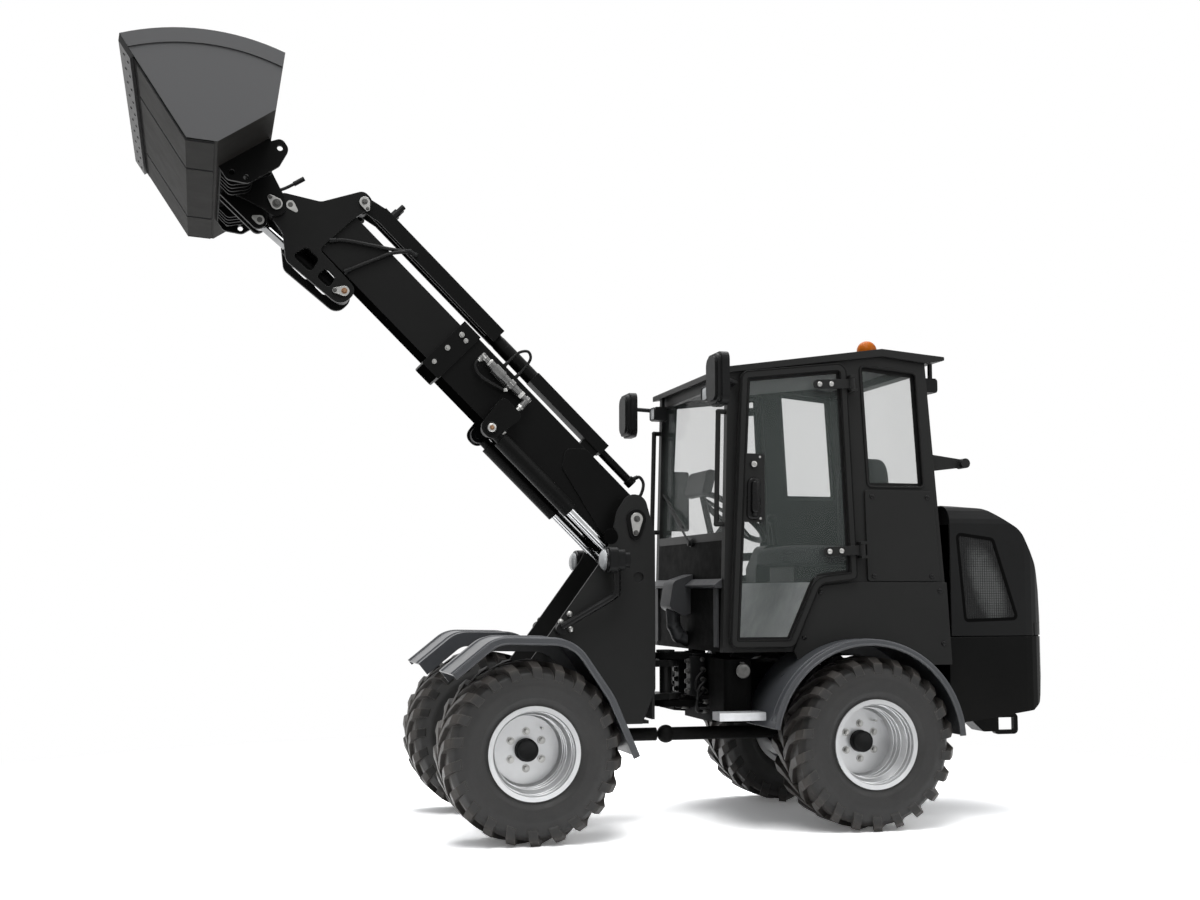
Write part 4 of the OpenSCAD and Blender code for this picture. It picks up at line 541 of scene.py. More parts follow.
class Piece:
    """Collects the solids of one visible piece, drawn in millimetres in a working frame."""

    def __init__(self, at=ROW):
        self.at = at
        self.bm = bmesh.new()

    def ring(self, points):
        return [self.bm.verts.new(self.at @ Vector(p)) for p in points]

    def skin(self, rings, joined=False):
        """Joins rings of equal count by faces; a ring of one vertex closes to a point."""
        pairs = list(zip(rings, rings[1:])) + ([(rings[-1], rings[0])] if joined else [])
        for low, high in pairs:
            count = max(len(low), len(high))
            for i in range(count):
                j = (i + 1) % count
                corners = [low[i % len(low)], low[j % len(low)], high[j % len(high)], high[i % len(high)]]
                face = list(dict.fromkeys(corners))
                if len(face) > 2:
                    self.bm.faces.new(face)
        if not joined:
            for end in (rings[0], rings[-1]):
                if len(end) > 2:
                    self.bm.faces.new(end)
        return self

    def prism(self, outline, low, high):
        """An outline in X and Z, pulled out from Y = low to Y = high."""
        return self.skin([self.ring(at_y(outline, y)) for y in (low, high)])

    def frame(self, outer, inner, low, high):
        """A flat ring between two outlines of equal count, pulled out along Y."""
        lines = ((outer, low), (outer, high), (inner, high), (inner, low))
        return self.skin([self.ring(at_y(line, y)) for line, y in lines], joined=True)

    def panel(self, outline, low, high):
        """An outline in Y and Z, pulled out from X = low to X = high."""
        return self.skin([self.ring([(x, y, z) for y, z in outline]) for x in (low, high)])

    def slab(self, outline, low, high):
        """An outline in X and Y, pulled out from Z = low to Z = high."""
        return self.skin([self.ring([(x, y, z) for x, y in outline]) for z in (low, high)])

    def block(self, low, high):
        (x0, y0, z0), (x1, y1, z1) = low, high
        return self.prism([(x0, z0), (x1, z0), (x1, z1), (x0, z1)], y0, y1)

    def lathe(self, start, axis, profile, steps=20, turn=0.0):
        """A profile of (radius, distance) turned about an axis."""
        start, axis = Vector(start), Vector(axis).normalized()
        first, second = upright(axis)
        rings = []
        for radius, distance in profile:
            centre = start + axis * distance
            angles = [turn + 2 * math.pi * i / steps for i in range(steps)] if radius > 1e-6 else [0.0]
            rings.append(self.ring([centre + (first * math.cos(a) + second * math.sin(a)) * radius for a in angles]))
        return self.skin(rings)

    def rod(self, start, end, radius, steps=14):
        start, end = Vector(start), Vector(end)
        return self.lathe(start, end - start, [(radius, 0.0), (radius, (end - start).length)], steps)

    def tube(self, path, radius, steps=10, closed=False):
        """A round bar along a path."""
        path = [Vector(p) for p in path]
        count = len(path)
        side = None
        rings = []
        for index in range(count):
            before = path[index - 1] if closed or index else path[index]
            after = path[(index + 1) % count] if closed or index < count - 1 else path[index]
            ahead = (after - before).normalized()
            side = upright(ahead)[0] if side is None else (side - ahead * side.dot(ahead)).normalized()
            other = ahead.cross(side)
            rings.append(self.ring([path[index] + (side * math.cos(a) + other * math.sin(a)) * radius
                                    for a in full_turn(steps)]))
        return self.skin(rings, joined=closed)

    def bolt(self, place, axis, radius):
        """A hexagon head on its washer, standing on place."""
        rim, base = radius * 1.45, radius * 0.3
        self.lathe(place, axis, [(rim, 0.0), (rim, base * 0.8), (radius * 1.38, base)], 18)
        head = [(radius, base), (radius, base + radius * 0.62), (radius * 0.86, base + radius * 0.78)]
        return self.lathe(place, axis, head, 6, 0.3)

    def dome(self, place, axis, radius, height=None):
        """A round-headed bolt."""
        height = height or radius * 0.55
        profile = [(radius, 0.0), (radius, height * 0.25)]
        profile += [(radius * math.cos(a), height * (0.25 + 0.75 * math.sin(a))) for a in (0.4, 0.8, 1.2)]
        return self.lathe(place, axis, profile + [(0.0, height)], 16)

    def keeper(self, centre, tail, big, small, low, high, side):
        """A teardrop plate that holds a pin, pulled out along Y; its narrow end is at the tail."""
        centre, tail = Vector(centre), Vector(tail)
        way = math.atan2(tail.y - centre.y, tail.x - centre.x)
        lean = math.acos(max(-1.0, min(1.0, (big - small) / (tail - centre).length)))
        line = bow(centre, big, [way + lean + (2 * math.pi - 2 * lean) * step / 16 for step in range(17)])
        line += bow(tail, small, [way - lean + 2 * lean * step / 8 for step in range(9)])
        return self.prism(line, side * low, side * high)

    def outward(self, side, shapes):
        """Keepers, bolts and turned shapes that face outward on one side."""
        for kind, place, *values in shapes:
            if kind == "keeper":
                self.keeper(place, *values, side)
            elif kind == "bolt":
                self.bolt((place[0], side * place[1], place[2]), (0, side, 0), *values)
            else:
                self.lathe((place[0], side * place[1], place[2]), (0, side, 0), *values)
        return self

    def done(self, name, body, finish, slot=None, bevel=0.0, sharp=40.0):
        """Makes the object, with smooth faces and sharp edges, and puts it on its body."""
        bmesh.ops.recalc_face_normals(self.bm, faces=self.bm.faces)
        for face in self.bm.faces:
            face.smooth = True
        mesh = bpy.data.meshes.new(name)
        self.bm.to_mesh(mesh)
        self.bm.free()
        mesh.set_sharp_from_angle(angle=math.radians(sharp))
        mesh.materials.append(MATERIALS[finish])
        piece = put(name, mesh)
        if bevel:
            soften = piece.modifiers.new("soft edges", "BEVEL")
            soften.width = bevel * 0.001
            soften.segments = 2
            soften.limit_method = "ANGLE"
            soften.angle_limit = math.radians(40.0)
        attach(piece, body)
        return piece


# Radius of a hose fitting as a share of the hose's, and distance from the hose's end
CRIMP = ((1.1, -6), (1.45, -6), (1.45, 6), (1.3, 7), (1.3, 26), (1.1, 28))


def hose(name, at, points, radius, body, ends="black_plastic"):
    """A hose through the points, with a crimped fitting at each end."""
    line = [at @ p for p in smooth_path(points)]
    curve = bpy.data.curves.new(name, "CURVE")
    curve.dimensions = "3D"
    curve.bevel_depth = radius * 0.001
    curve.bevel_resolution = 3
    curve.use_fill_caps = True
    spline = curve.splines.new("POLY")
    spline.points.add(len(line) - 1)
    for point, place in zip(spline.points, line):
        point.co = (*place, 1.0)
    curve.materials.append(MATERIALS["hose_rubber"])
    piece = put(name, curve)
    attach(piece, body)
    back = at.inverted()
    fittings = Piece(at)
    for end, inward in ((line[0], line[3]), (line[-1], line[-4])):
        way = back @ inward - back @ end
        fittings.lathe(back @ end, way, [(radius * share, reach) for share, reach in CRIMP], 14)
    fittings.done(name + "_fittings", body, ends, "black_plastic")


SIDES = (("left", 1), ("right", -1))


# Wheels and fenders

# X and Z of the axles, distances of the wheel from the machine's middle, circles of nuts and valve stem
AXLES = {"front": (1620.0, 400.0), "rear": (0.0, 400.0)}
DISC_FACE = 496.5
WHEEL_MIDDLE = 522.5
NUT_CIRCLE = 82
STEM_CIRCLE, STEM_TURN = 118, 2.2
REAR_FENDER_CENTRE = (40, 400)
# Radius, distance from the wheel's middle and thickness of the round beads
WHEEL_BEADS = (
    ("tyre_beads", "tyre_rubber", ((331, 165.4, 2.6), (324, 167.6, 2.2), (252, 171.6, 2.2))),
    ("rim_rings", "rim_paint", ((182.0, 142, 2.4), (181.6, 105, 3.6), (165.2, 76, 3.6), (164.0, 34, 3.0),
                                (163.6, -2, 3.0))))


def dress_wheels():
    """Black hub caps, wheel nuts, valve stems, beads of the tyres and rings of the rims."""
    cap = [(52, 0), (52, 3), (49.7, 4), (49.7, 40), (47, 43.5), (40, 44.5), (38, 43), (0, 43)]
    for end, (x, z) in AXLES.items():
        for hand, side in SIDES:
            body = f"wheel_{end}_{hand}"
            out = (0, side, 0)
            face = side * DISC_FACE
            Piece().lathe((x, face, z), out, cap, 40).done(f"hub_cap_{end}_{hand}", body, "black_plastic", bevel=0.6)
            nuts = Piece()
            for a, b in bow((x, z), NUT_CIRCLE, full_turn(6, 0.5)):
                nuts.bolt((a, face, b), out, 12.5).rod((a, face, b), (a, face + side * 20, b), 6.5, 12)
            for a, b in bow((x, z), STEM_CIRCLE, [STEM_TURN]):
                nuts.rod((a, face, b), (a, face + side * 34, b), 4.2, 10)
                nuts.rod((a, face + side * 24, b), (a, face + side * 38, b), 5.6, 10)
            nuts.done(f"wheel_nuts_{end}_{hand}", body, "zinc_steel")
            for name, finish, rings in WHEEL_BEADS:
                beads = Piece()
                for radius, reach, thick in rings:
                    y = side * (WHEEL_MIDDLE + reach)
                    beads.tube(at_y(bow((x, z), radius, full_turn(96)), y), thick, 6, closed=True)
                beads.done(f"{name}_{end}_{hand}", body, finish)


def dress_fenders():
    """Rolled edges and pressed ridges on the fenders."""
    crest = rounded([(1989, 749), (1797, 904, 150), (1447, 897, 190), (1269, 643, 300), (1153, 380)], 10, closed=False)
    hub = Vector(AXLES["front"])
    for hand, side in SIDES:
        edge = Piece()
        for y, depth, thick in ((712.5, 25, 5.5), (713, 1, 4.5), (668, 0.5, 6.0), (402, 0.5, 6.0)):
            line = []
            for place in crest:
                inward = (hub - Vector(place)).normalized() * depth
                line.append((place[0] + inward.x, side * y, place[1] + inward.y))
            edge.tube(line, thick, 8)
        edge.done(f"front_fender_ridges_{hand}", "front_frame", "fender_plastic")
        edge = Piece()
        for y, radius, thick, start, end in ((714, 462, 6.0, 12, 176), (712, 482, 5.0, 14, 174),
                                             (664, 482.5, 5.0, 14, 174)):
            turns = [math.radians(turn) for turn in range(start, end, 4)]
            edge.tube(at_y(bow(REAR_FENDER_CENTRE, radius, turns), side * y), thick, 8)
        edge.done(f"rear_fender_edge_{hand}", "rear_frame", "fender_plastic")


# Boom, bucket and their pins

BOOM_PIVOT = (1026, 1453)
# Name, working frame, body, finish, bevel and shapes of the pieces at the pins, for the left side
PIN_PIECES = (
    ("pivot_boss", ROW, "front_frame", "black_paint", 2, [
        ("keeper", BOOM_PIVOT, (1031, 1384), 48, 30, 224, 236)]),
    ("pivot_keeper", ROW, "front_frame", "zinc_steel", 1, [
        ("keeper", BOOM_PIVOT, (1031, 1386), 30, 14, 236, 244)]),
    ("pivot_bolts", ROW, "front_frame", "bolt_steel", 0, [
        ("bolt", (1026, 244, 1453), 11), ("bolt", (1031, 244, 1386), 9)]),
    # Near black: painted shade.
    ("tower_plug", ROW, "front_frame", "painted_shade_black", 0, [
        ("lathe", (1151, 212, 1368), [(26.4, 0), (26.4, 5), (20, 5), (18, 3), (0, 3)], 28),
        ("lathe", (1151, 225, 1368), [(26, 0), (37, 0), (36, 1.2), (26, 1.2)], 36)]),
    ("lift_pin_ring", BOOM, "boom_outer", "black_paint", 0.8, [
        ("lathe", (800, 205, -190), [(30, -1), (30, 5), (27, 8), (12, 8)], 28)]),
    ("lift_pin_cap", BOOM, "boom_outer", "zinc_steel", 0, [
        ("lathe", (800, 205, -190), [(21, 0), (21, 9), (19, 10.5), (0, 10.5)], 24)]),
    ("lift_pin_bolt", BOOM, "boom_outer", "rusty_bolt", 0, [("bolt", (800, 215, -190), 8)]),
    ("head_keepers", BOOM, "boom_inner", "zinc_steel", 0.8, [
        ("keeper", (2204, -117), (2168, -117), 21, 9, 115, 118),
        ("keeper", (1983, 150), (1949, 136), 25, 11, 121, 127),
        ("keeper", (1742, -222), (1774, -252), 24, 12, 121, 127)]),
    ("head_bolts", BOOM, "boom_inner", "bolt_steel", 0, [
        ("bolt", (1983, 127, 150), 10), ("bolt", (1949, 127, 136), 6), ("bolt", (1774, 127, -252), 7),
        ("lathe", (2204, 117.6, -117), [(0, 0), (12, 0), (12, 0.9), (9, 1.1), (0, 1.1)], 24)]),
    ("tilt_base_bolt", BOOM, "boom_inner", "rusty_bolt", 0, [("bolt", (1742, 127, -222), 10)]),
    ("hitch_keepers", BUCKET, "bucket", "zinc_steel", 0.8, [
        ("keeper", (0, 0), (41, -9), 27, 12, 148.4, 155), ("keeper", (-10, -94), (14, -110), 22, 10, 60, 64.5)]),
    ("hitch_bolts", BUCKET, "bucket", "bolt_steel", 0, [
        ("bolt", (0, 155, 0), 11), ("bolt", (41, 155, -9), 7),
        ("lathe", (0, 154, 0), [(19, 0), (21, 0), (21, 2.5), (19, 2.5)], 24), ("bolt", (-10, 64.5, -94), 9)]),
    ("collar_bolts", BOOM, "boom_outer", "zinc_steel", 0, [
        ("bolt", (1212, 122, 40), 9), ("bolt", (1178, 122, 34), 8), ("bolt", (1215, 122, -55), 9),
        ("bolt", (1212, 122, -148), 8)]))


def dress_boom():
    """Keepers, rings, plugs and bolts at the boom's pins and collar, and the lock lever of the hitch."""
    for hand, side in SIDES:
        for name, at, body, finish, bevel, shapes in PIN_PIECES:
            Piece(at).outward(side, shapes).done(f"{name}_{hand}", body, finish, bevel=bevel)
    lever = Piece(BUCKET).tube(smooth_path([(112, -130, 46), (104, -131, 90), (98, -138, 130), (96, -142, 178)], 5), 8)
    lever.tube([(96, -142, 176), (95.6, -142.3, 196), (95, -143, 232)], 12, 12)
    lever.done("lock_lever", "bucket", "black_plastic")


VALVE_Y = 152


def dress_valve():
    """Fittings, pipe and hose of the lock valve on the boom's left face, gland, near-black sheets of painted shade
    under the boom and other hoses.
    """
    y = VALVE_Y
    back, down = (-1, 0, 0), (0, 0, -1)
    caps = Piece(BOOM)
    caps.lathe((1079, y, 36), back, [(11, 0), (16, 2), (16, 26), (14.6, 28), (14.6, 46)], 6)
    caps.lathe((1031, y, 36), back, [(19.6, 0), (20.6, 2), (20.6, 12), (19.4, 13)], 28)
    caps.lathe((893, y, 36), back, [(19.5, 0), (26, 2), (26, 13), (24, 15), (26, 17), (26, 26), (19.5, 28)], 8)
    caps.lathe((820, y, 36), back, [(15.4, 0), (21, 2), (21, 20), (15.4, 22)], 6)
    caps.lathe((770, y, 55), down, [(9, 0), (17.5, 2), (17.5, 16), (16.4, 18)], 6)
    caps.lathe((770, y, 0), down, [(16.4, 0), (17.5, 2), (17.5, 14), (12, 16)], 6)
    caps.lathe((1068, y, 16), down, [(13.4, 0), (13.6, 6), (10, 8), (10, 14)], 12)
    caps.lathe((886, y, 4), (-0.8, 0, -0.6), [(9, 0), (12, 2), (12, 18)], 12)
    caps.done("boom_valve_fittings", "boom_outer", "zinc_steel", bevel=0.6)
    sleeve = Piece(BOOM)
    sleeve.lathe((1018, 0, 172), (1, 0, 0), [(24, 0), (37.6, 0), (37.6, 40), (36, 44), (36, 112), (24, 113)], 36)
    sleeve.done("telescope_gland", "boom_outer", "black_paint", bevel=1)
    # Near-black sheets under the boom and its collar: painted shade.
    for name, body, u0, u1, half, w0, w1 in (
            ("outer_shade_film", "boom_outer", -38, 1138, 108, -172.9, -171.9),
            ("collar_shade_film", "boom_outer", 1150, 1242, 120, -194.9, -193.9),
            ("inner_shade_film", "boom_inner", 1180, 2060, 92, -157.8, -156.9)):
        Piece(BOOM).block((u0, -half, w0), (u1, half, w1)).done(name, body, "painted_shade_film")
    loop = [(1068, y, 8), (1072, y, -8), (1058, y, -30), (1015, y, -40), (953, y, -28), (876, y, -4)]
    Piece(BOOM).tube(smooth_path(loop, 6), 7, 10).done("boom_valve_pipe", "boom_outer", "hose_rubber")
    hose("boom_side_hose", BOOM, [
        (770, y, -14), (769, y + 3, -48), (754, y + 6, -90), (743, y + 8, -138), (738, y + 8, -176)],
        10, "boom_outer", "zinc_steel")
    clamp = Piece(BOOM).block((738, 108, -74), (784, 166, -58))
    clamp.done("boom_side_clamp", "boom_outer", "black_plastic", bevel=2)
    hose("head_hose_long", BOOM, [
        (1958, 106, -96), (1914, 109, -46), (1813, 109, 30), (1740, 104, 84), (1672, 72, 152)], 9, "boom_inner")
    hose("head_hose_short", BOOM, [
        (1806, 106, -150), (1786, 109, -93), (1754, 109, -8), (1728, 108, 60), (1704, 100, 102), (1672, 74, 148),
        (1640, 66, 162)], 9, "boom_inner")
    hose("telescope_feed", BOOM, [
        (112, 0, 184), (96, 6, 214), (60, 14, 204), (34, 22, 160), (28, 26, 112), (40, 26, 97)], 8, "boom_outer")
    hose("telescope_loop", BOOM, [
        (962, 74, 96), (963, 77, 150), (956, 79, 200), (930, 80, 230), (898, 79, 214), (886, 77, 160), (884, 74, 96)],
        7, "boom_outer")


def dress_bucket():
    """Bolts of the cutting edge and near-black strips of painted shade in the gaps round the skid plates."""
    first, pitch, count = -810, 180, 10
    bolts = Piece(BUCKET)
    for index in range(count):
        y = first + pitch * index
        for shift in (-14, 14):
            bolts.dome((700 + shift, y + shift, -321), (0, 0, -1), 7, 3.5)
        bolts.dome((716, y, -301), (0, 0, 1), 11, 5)
    bolts.done("edge_bolts", "bucket", "edge_steel")
    # Near-black strips in the gaps round the skid plates: painted shade.
    gaps = Piece(BUCKET)
    line = [(206, -214), (275, -305), (640, -305), (640, -300), (278, -300), (210, -211)]
    for y0, y1 in ((430, 456), (-456, -430), (869, 894), (-894, -869)):
        gaps.prism(line, y0 + 0.5, y1 - 0.5)
    gaps.block((640, -894, -306), (664.5, 894, -300))
    gaps.done("skid_gap_shade", "bucket", "painted_shade_black", "edge_steel")


# Cab

DOOR = [(676, 844, 40), (610, 2138, 40), (76, 2200, 50), (32, 1163, 30), (222, 1140, 50), (357, 844, 50)]
GRIP_SHELL = [(520, 1440, 26), (590, 1440, 26), (584, 1640, 34), (520, 1640, 34)]
GRIP_HANDLE = [(539, 1470, 16), (573, 1470, 16), (570, 1622, 16), (536, 1622, 16)]
QUARTER_WINDOW = [(-37, 1604, 25), (-4, 2195, 25), (-304, 2168, 25), (-338, 1604, 25)]


def dress_doors():
    """Bead and dark border round the door glass, hinge bolts, lock and grip."""
    for hand, side in SIDES:
        body = f"door_{hand}"
        out = (0, side, 0)
        bead = Piece()
        for distance, y, radius in ((4.0, 578, 5.0), (34.0, 579, 4.5)):
            bead.tube(at_y(rounded(inset(DOOR, distance), 6), side * y), radius, 8, closed=True)
        bead.done(f"door_bead_{hand}", body, "black_paint")
        outer, inner = rounded(inset(DOOR, 36), 6), rounded(inset(DOOR, 50), 6)
        seal = Piece().frame(outer, inner, side * 563.3, side * 565.0)
        seal.done(f"door_seal_{hand}", body, "hose_rubber")
        bolts = Piece()
        for x, z in ((14, 1302), (54, 2097)):
            for reach in (105, 165):
                bolts.dome((x + reach, side * 589, z - reach * 0.05), out, 13, 8)
        bolts.done(f"door_hinge_bolts_{hand}", body, "zinc_steel")
        grip = Piece()
        for outline, rows in ((GRIP_SHELL, ((0, 572.8), (0, 578), (5, 583), (14, 585))),
                              (GRIP_HANDLE, ((0, 584), (0, 606), (4, 611), (9, 613)))):
            grip.skin([grip.ring(at_y(rounded(inset(outline, distance), 6), side * y)) for distance, y in rows])
        grip.done(f"door_grip_{hand}", body, "dark_mesh", sharp=50)
        lock = Piece().lathe((553, side * 583, 1700), out, [(14, -2), (14, 4), (12, 5.5), (6, 5.5), (5, 3), (0, 3)], 20)
        for x, z in ((520, 1735), (612, 1446), (520, 1446)):
            lock.dome((x, side * 573, z), out, 6)
        lock.done(f"door_lock_{hand}", body, "zinc_steel")


def dress_cab():
    """Bolts on the panels, dark border of the quarter windows, a near-black sheet of painted shade on the front wall,
    lining and wiper.
    """
    for hand, side in SIDES:
        bolts = Piece()
        for x, z in ((215, 1100), (-404, 1110), (300, 891), (-418, 858), (-362, 1179), (-345, 1560), (-60, 1180),
                     (-55, 1560)):
            bolts.dome((x, side * 557, z), (0, side, 0), 12, 7)
        bolts.done(f"panel_bolts_{hand}", "rear_frame", "dark_mesh")
        outer, inner = rounded(inset(QUARTER_WINDOW, -2), 5), rounded(inset(QUARTER_WINDOW, 24), 5)
        border = Piece().frame(outer, inner, side * 525.2, side * 527)
        border.done(f"quarter_border_{hand}", "rear_frame", "hose_rubber")
        seal = Piece().tube(at_y(rounded(inset(QUARTER_WINDOW, 3), 6), side * 546), 6, 8, closed=True)
        seal.done(f"quarter_seal_{hand}", "rear_frame", "hose_rubber")
    # A near-black sheet over the front wall: painted shade.
    wall = Piece().panel([(-500, 846), (500, 846), (500, 1118), (-500, 1118)], 700.4, 703)
    wall.done("front_wall_shade", "rear_frame", "painted_shade_black")
    ledge = Piece().prism([(692, 1120), (731, 1126), (733, 1136), (694, 1166)], -520, 520)
    for y in (470, -470):
        ledge.block((698, y - 26, 846), (712, y + 26, 1122))
    ledge.done("front_wall_ledge", "rear_frame", "grey_plastic", bevel=2)
    lining = Piece()
    lining.prism([(640, 2124), (-190, 2226), (-372, 2206), (-372, 2200), (-190, 2218), (640, 2116)], -500, 500)
    for side in (1, -1):
        lining.prism([(-330, 1190), (-52, 1190), (-44, 1588), (-322, 1588)], side * 524, side * 529)
    lining.done("cab_lining", "rear_frame", "lining_grey")
    wiper = Piece()
    wiper.lathe((684.416, 60, 1345), (1, 0, 0), [(20, 0), (20, 12), (14, 15), (14, 26), (0, 27)], 18)
    wiper.tube(smooth_path([(706, 60, 1345), (704, 20, 1372), (694, -120, 1440), (684, -290, 1524)], 5), 6, 8)
    wiper.rod((678, -120, 1432), (666, -480, 1620), 6.5, 8)
    wiper.rod((673, -120, 1427), (661, -480, 1615), 4, 8)
    wiper.done("wiper", "rear_frame", "black_plastic")


# Parts of a work lamp: finish, and share of the lamp's face and distance from it for each ring
LAMP_PARTS = (
    ("reflector", "mirror_face", ((0.84, 0.6), (0.84, 5.0), (0.60, 2.4), (0.24, 1.2), (0.20, 4.0))),
    ("lens", "lamp_glass", ((0.83, 5.5), (0.83, 7.0), (0.6, 9.5), (0.3, 11.0))),
    ("rim", "black_plastic", ((0.96, 0.3), (0.96, 9.0), (0.90, 11.0), (0.82, 9.0), (0.82, 0.3))))


def work_lamp(name, x, y, z, way):
    """A reflector bowl and a lens with a rim, on a work lamp's flat face; way is 1 ahead, -1 back."""
    half_y, half_z, corner = 45, 35, 15.75

    def ring(share, reach):
        corners = [(y + a * half_y * share, z + b * half_z * share, corner * share)
                   for a, b in ((-1, -1), (1, -1), (1, 1), (-1, 1))]
        return [(x + way * reach, a, b) for a, b in rounded(corners, 4)]

    for part, finish, rows in LAMP_PARTS:
        piece = Piece()
        piece.skin([piece.ring(ring(share, reach)) for share, reach in rows], joined=part == "rim")
        piece.done(f"{name}_{part}", "rear_frame", finish, sharp=60)


def headlamp(hand, side):
    """A deep reflector, a bulging lens and a moulded rim on the headlamp's face, its arm's sleeve and nuts."""
    centre, ahead, body = (1190, side * 300, 1255), (1, 0, 0), "front_frame"
    rim = Piece().lathe(centre, ahead, [(50, 0.3), (58, 0.3), (58, 9), (55, 13), (51, 13), (50, 9)], 40)
    rim.done(f"headlamp_rim_{hand}", body, "dark_mesh", bevel=1)
    bowl = Piece().lathe(centre, ahead, [(50, 0.4), (50, 6), (40, 3), (22, 1.4), (12, 1.2), (9, 12), (0, 14)], 36)
    bowl.done(f"headlamp_reflector_{hand}", body, "mirror_face", sharp=60)
    bulge = [(49 * math.cos(t), 12 + 26 * math.sin(t)) for t in (0.3, 0.6, 0.9, 1.2, 1.4)]
    lens = Piece().lathe(centre, ahead, [(49.5, 8), (49.5, 12)] + bulge + [(0, 38)], 36)
    lens.done(f"headlamp_lens_{hand}", body, "lamp_glass", sharp=60)
    arm = [(1140, 300, 1206), (1140, 300, 1112), (1150, 297, 1088), (1172, 294, 1072), (1400, 260, 938)]
    sleeve = Piece().tube([(x, side * y, z) for x, y, z in arm], 16.5, 14)
    sleeve.done(f"headlamp_arm_{hand}", body, "dark_mesh")
    nuts = Piece()
    for x, z in ((1396, 963), (1354, 1000), (1349, 927)):
        nuts.dome((x, side * 225, z), (0, side, 0), 15, 12)
    nuts.done(f"lamp_foot_nuts_{hand}", body, "zinc_steel")


def dress_lamps():
    """Headlamps, work lamps, mirror glass and clamps, and the foot of the beacon."""
    mirror = [(670, 1958, 34), (820, 1958, 34), (820, 2182, 34), (670, 2182, 34)]
    for hand, side in SIDES:
        headlamp(hand, side)
        work_lamp(f"work_lamp_front_{hand}", 736, side * 430, 2045, 1)
        work_lamp(f"work_lamp_rear_{hand}", -448, side * 430, 2120, -1)
        pane = Piece().panel([(side * y, z) for y, z in rounded(mirror, 5)], 756.6, 757.9)
        pane.done(f"mirror_glass_{hand}", "rear_frame", "mirror_face")
        clamp = Piece().rod((780, side * 668, 2100), (780, side * 700, 2100), 17, 18)
        clamp.rod((666, side * 543, 2080), (666, side * 556, 2080), 22, 18)
        clamp.done(f"mirror_clamp_{hand}", "rear_frame", "black_plastic", bevel=1.5)
    base = Piece().lathe((-300, 0, 2226), (0, 0, 1), [(67, 0), (67, 40), (63, 50), (63, 56), (60, 58)], 40)
    base.done("beacon_base", "rear_frame", "black_plastic", bevel=1)


def cushion(piece, centre, half, face, crown, seams):
    """A stuffed block: a rounded box with a crowned face and sewn channels across Y."""
    power, cuts, seam_depth, seam_width = 5.0, 22, 9.0, 0.035
    made = {}

    def vertex(*flat):
        key = tuple(round(part, 5) for part in flat)
        if key not in made:
            local = Vector(flat) / sum(abs(part) ** power for part in flat) ** (1 / power)
            level = max(0.0, local[face])
            first, second = (local[i] for i in range(3) if i != face)
            lift = crown * level * (1 - first ** 2) * (1 - second ** 2)
            for seam in seams:
                lift -= seam_depth * level * math.exp(-((local[1] - seam) / seam_width) ** 2)
            place = Vector([centre[i] + half[i] * local[i] for i in range(3)])
            place[face] += lift
            made[key] = piece.bm.verts.new(piece.at @ place)
        return made[key]

    for axis in range(3):
        for sign in (-1.0, 1.0):
            for i in range(cuts):
                for j in range(cuts):
                    corners = []
                    for di, dj in ((0, 0), (1, 0), (1, 1), (0, 1)):
                        flat = [-1 + 2 * (i + di) / cuts, -1 + 2 * (j + dj) / cuts]
                        flat.insert(axis, sign)
                        corners.append(vertex(*flat))
                    piece.bm.faces.new(corners)


def dress_seat():
    """Stuffed seat and back with sewn channels."""
    for name, centre, half, face, crown in (
            ("seat_cushion", (40, 0, 1280), (228, 238, 49), 2, 14.0),
            ("seat_back", (-262, 0, 1512), (62, 228, 272), 0, 0.0)):
        piece = Piece()
        cushion(piece, centre, half, face, crown, (-0.62, -0.2, 0.2, 0.62))
        made = piece.done(name, "rear_frame", "seat_cover", sharp=70)
        if name == "seat_cushion":
            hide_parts("seat")


# Hood, tail and steps

VENT = [(-566, 962, 20), (-529, 1390, 20), (-727, 1364, 24), (-853, 971, 20)]
WIRE_PITCH = 12


def vent_span(z):
    """Lowest and highest X of the side vent at a height."""
    hits = []
    for (x0, z0, _), (x1, z1, _) in zip(VENT, VENT[1:] + VENT[:1]):
        if (z0 - z) * (z1 - z) < 0:
            hits.append(x0 + (x1 - x0) * (z - z0) / (z1 - z0))
    return (min(hits), max(hits)) if len(hits) > 1 else (0.0, 0.0)


def dress_hood():
    """Rim, screen and wire mesh of the side vents."""
    for hand, side in SIDES:
        # The vent's rim is near black, painted shade; its screen carries a patch of painted light and painted shade in
        # the holes.
        rim = Piece().frame(rounded(inset(VENT, -6), 5), rounded(inset(VENT, 10), 5), side * 496.6, side * 500.4)
        rim.done(f"vent_rim_{hand}", "hood", "painted_shade_black", bevel=1)
        screen = Piece().prism(rounded(inset(VENT, 9), 5), side * 496.2, side * 497.4)
        screen.done(f"vent_screen_{hand}", "hood", "vent_screen")
        mesh = Piece()
        for row in range(35):
            z = 976 + WIRE_PITCH * row
            low, high = vent_span(z)
            if high - low > 30:
                mesh.rod((low + 14, side * 497.8, z), (high - 14, side * 497.8, z), 0.8, 6)
        for column in range(27):
            x = -846 + WIRE_PITCH * column
            spans = [z for z in range(972, 1392, 6) if vent_span(z)[0] + 12 < x < vent_span(z)[1] - 12]
            if len(spans) > 4:
                mesh.rod((x, side * 498.2, spans[0]), (x, side * 498.2, spans[-1]), 0.8, 6)
        mesh.done(f"vent_mesh_{hand}", "hood", "dark_mesh")


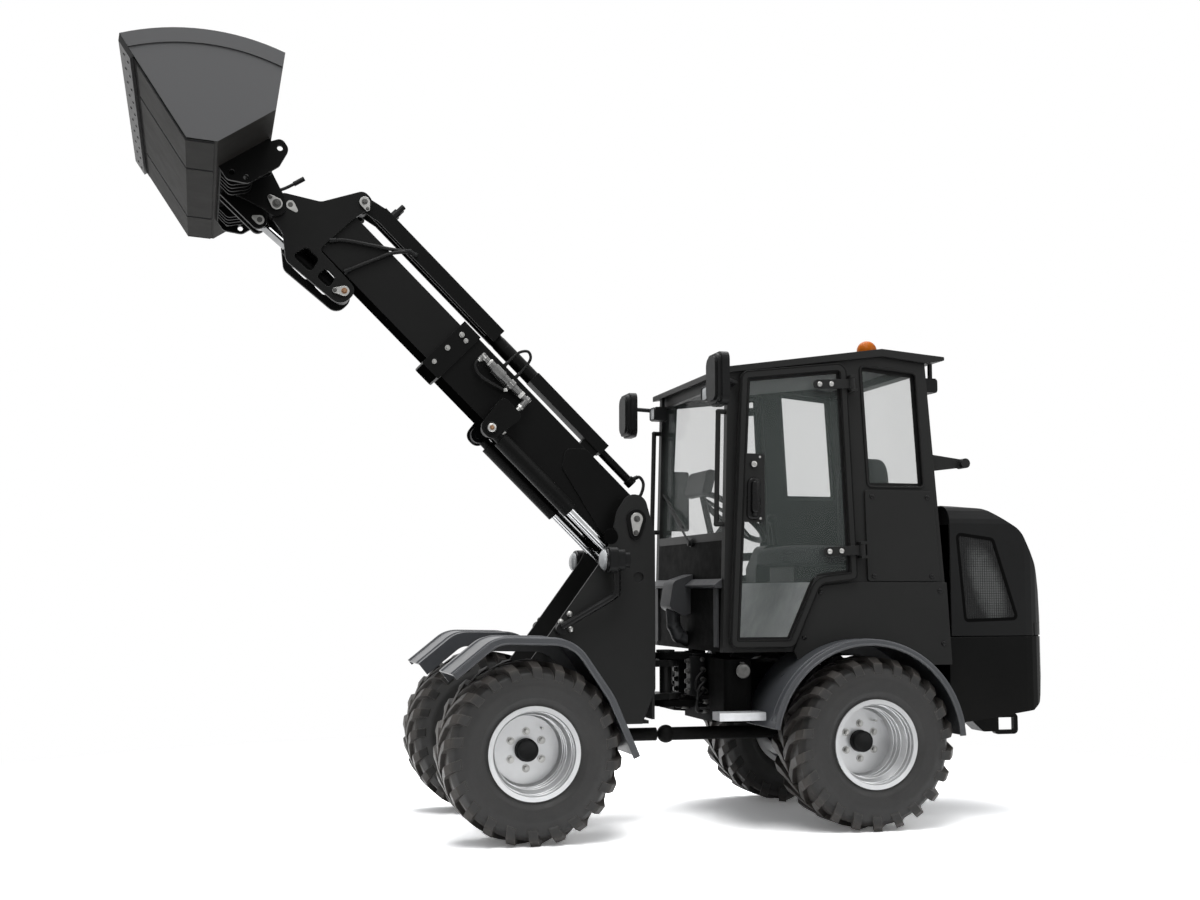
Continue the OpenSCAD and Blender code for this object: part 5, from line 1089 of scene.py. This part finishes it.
def dress_tail():
    """A near-black slab of painted shade in the gap between hood and counterweight, and the strips that close the
    hood's lower corners.
    """
    # A near-black slab in the gap between hood and counterweight: painted shade.
    seal = Piece()
    for back, half, radius, top in ((-1003, 468, 115, 936), (-1021, 494, 124, 890.2)):
        seal.slab(rounded([(back, -half, radius), (back, half, radius), (-545, half), (-545, -half)], 8), 885.2, top)
    seal.done("hood_gap_shade", "rear_frame", "painted_shade_black")
    corner_x, corner_y, start, sweep = -897, 370, 33.2, 33.0
    turns = [math.radians(start + sweep * step / 8) for step in range(9)]
    for hand, side in SIDES:
        bend = [(corner_x - radius * math.cos(turn), side * (corner_y + radius * math.sin(turn)))
                for radius, row in ((129.6, turns), (121, turns[::-1])) for turn in row]
        Piece().slab(bend, 891.6, 950.4).done(f"hood_corner_{hand}", "hood", "black_plastic")


def dress_joint():
    """Valve block, fittings and hoses behind the steering joint, and the horn on the tank."""
    horn_profile = [(12, -2), (12, 10), (33, 14), (35, 22), (30, 27), (20, 24), (8, 25), (0, 25)]
    for hand, side in SIDES:
        y, out = side * 96, (0, side, 0)
        block = Piece().block((644, y - 34, 600), (722, y + 34, 792)).block((650, y - 24, 792), (708, y + 24, 806))
        block.done(f"valve_block_{hand}", "rear_frame", "black_plastic", bevel=3)
        caps = Piece()
        for index in range(4):
            z = 622 + 48 * index
            caps.lathe((722, y, z), (1, 0, 0), [(15, 0), (15, 8), (12, 9), (12, 17), (8, 18)], 6)
            caps.lathe((662, side * 130, z + 10), out, [(13, 0), (13, 8), (9, 9), (9, 14)], 6)
        caps.done(f"valve_caps_{hand}", "rear_frame", "bolt_steel")
        for index, (low, far) in enumerate(((622, 172), (670, 186), (718, 162))):
            points = ((662, 142, 10), (668, far + 4, 4), (706, far + 22, -30), (712, far + 20, -68), (700, far, -92),
                      (668, far - 14, -96), (648, far - 16, -96))
            hose(f"joint_hose_{hand}_{index}", ROW, [(a, side * b, low + c) for a, b, c in points],
                 8, "rear_frame", "bolt_steel")
        horn = Piece().lathe((600, side * 520, 738), out, horn_profile, 32)
        horn.rod((590, side * 524, 775), (610, side * 524, 775), 5, 10)
        horn.done(f"horn_{hand}", "rear_frame", "bolt_steel")


def dress_steps():
    """Toothed tread bars on the steps."""
    teeth = [(530, 540)]
    for index in range(13):
        x = 532 + 15.5 * index
        teeth += [(x, 549), (x + 4, 553), (x + 9, 553), (x + 13, 549)]
    teeth += [(735, 549), (735, 540)]
    for hand, side in SIDES:
        tread = Piece()
        for y in (532, 550, 568, 586, 604):
            tread.prism(teeth, side * (y - 2.2), side * (y + 2.2))
        tread.done(f"step_tread_{hand}", "rear_frame", "step_metal")


# The dressed machine

make_camera()
make_world()
make_floor()
make_lamps()
make_materials()
dress_nodes()
dress_wheels()
dress_fenders()
dress_boom()
dress_valve()
dress_bucket()
dress_doors()
dress_cab()
dress_lamps()
dress_seat()
dress_hood()
dress_steps()
dress_tail()
dress_joint()
bpy.context.scene.view_settings.view_transform = "Standard"
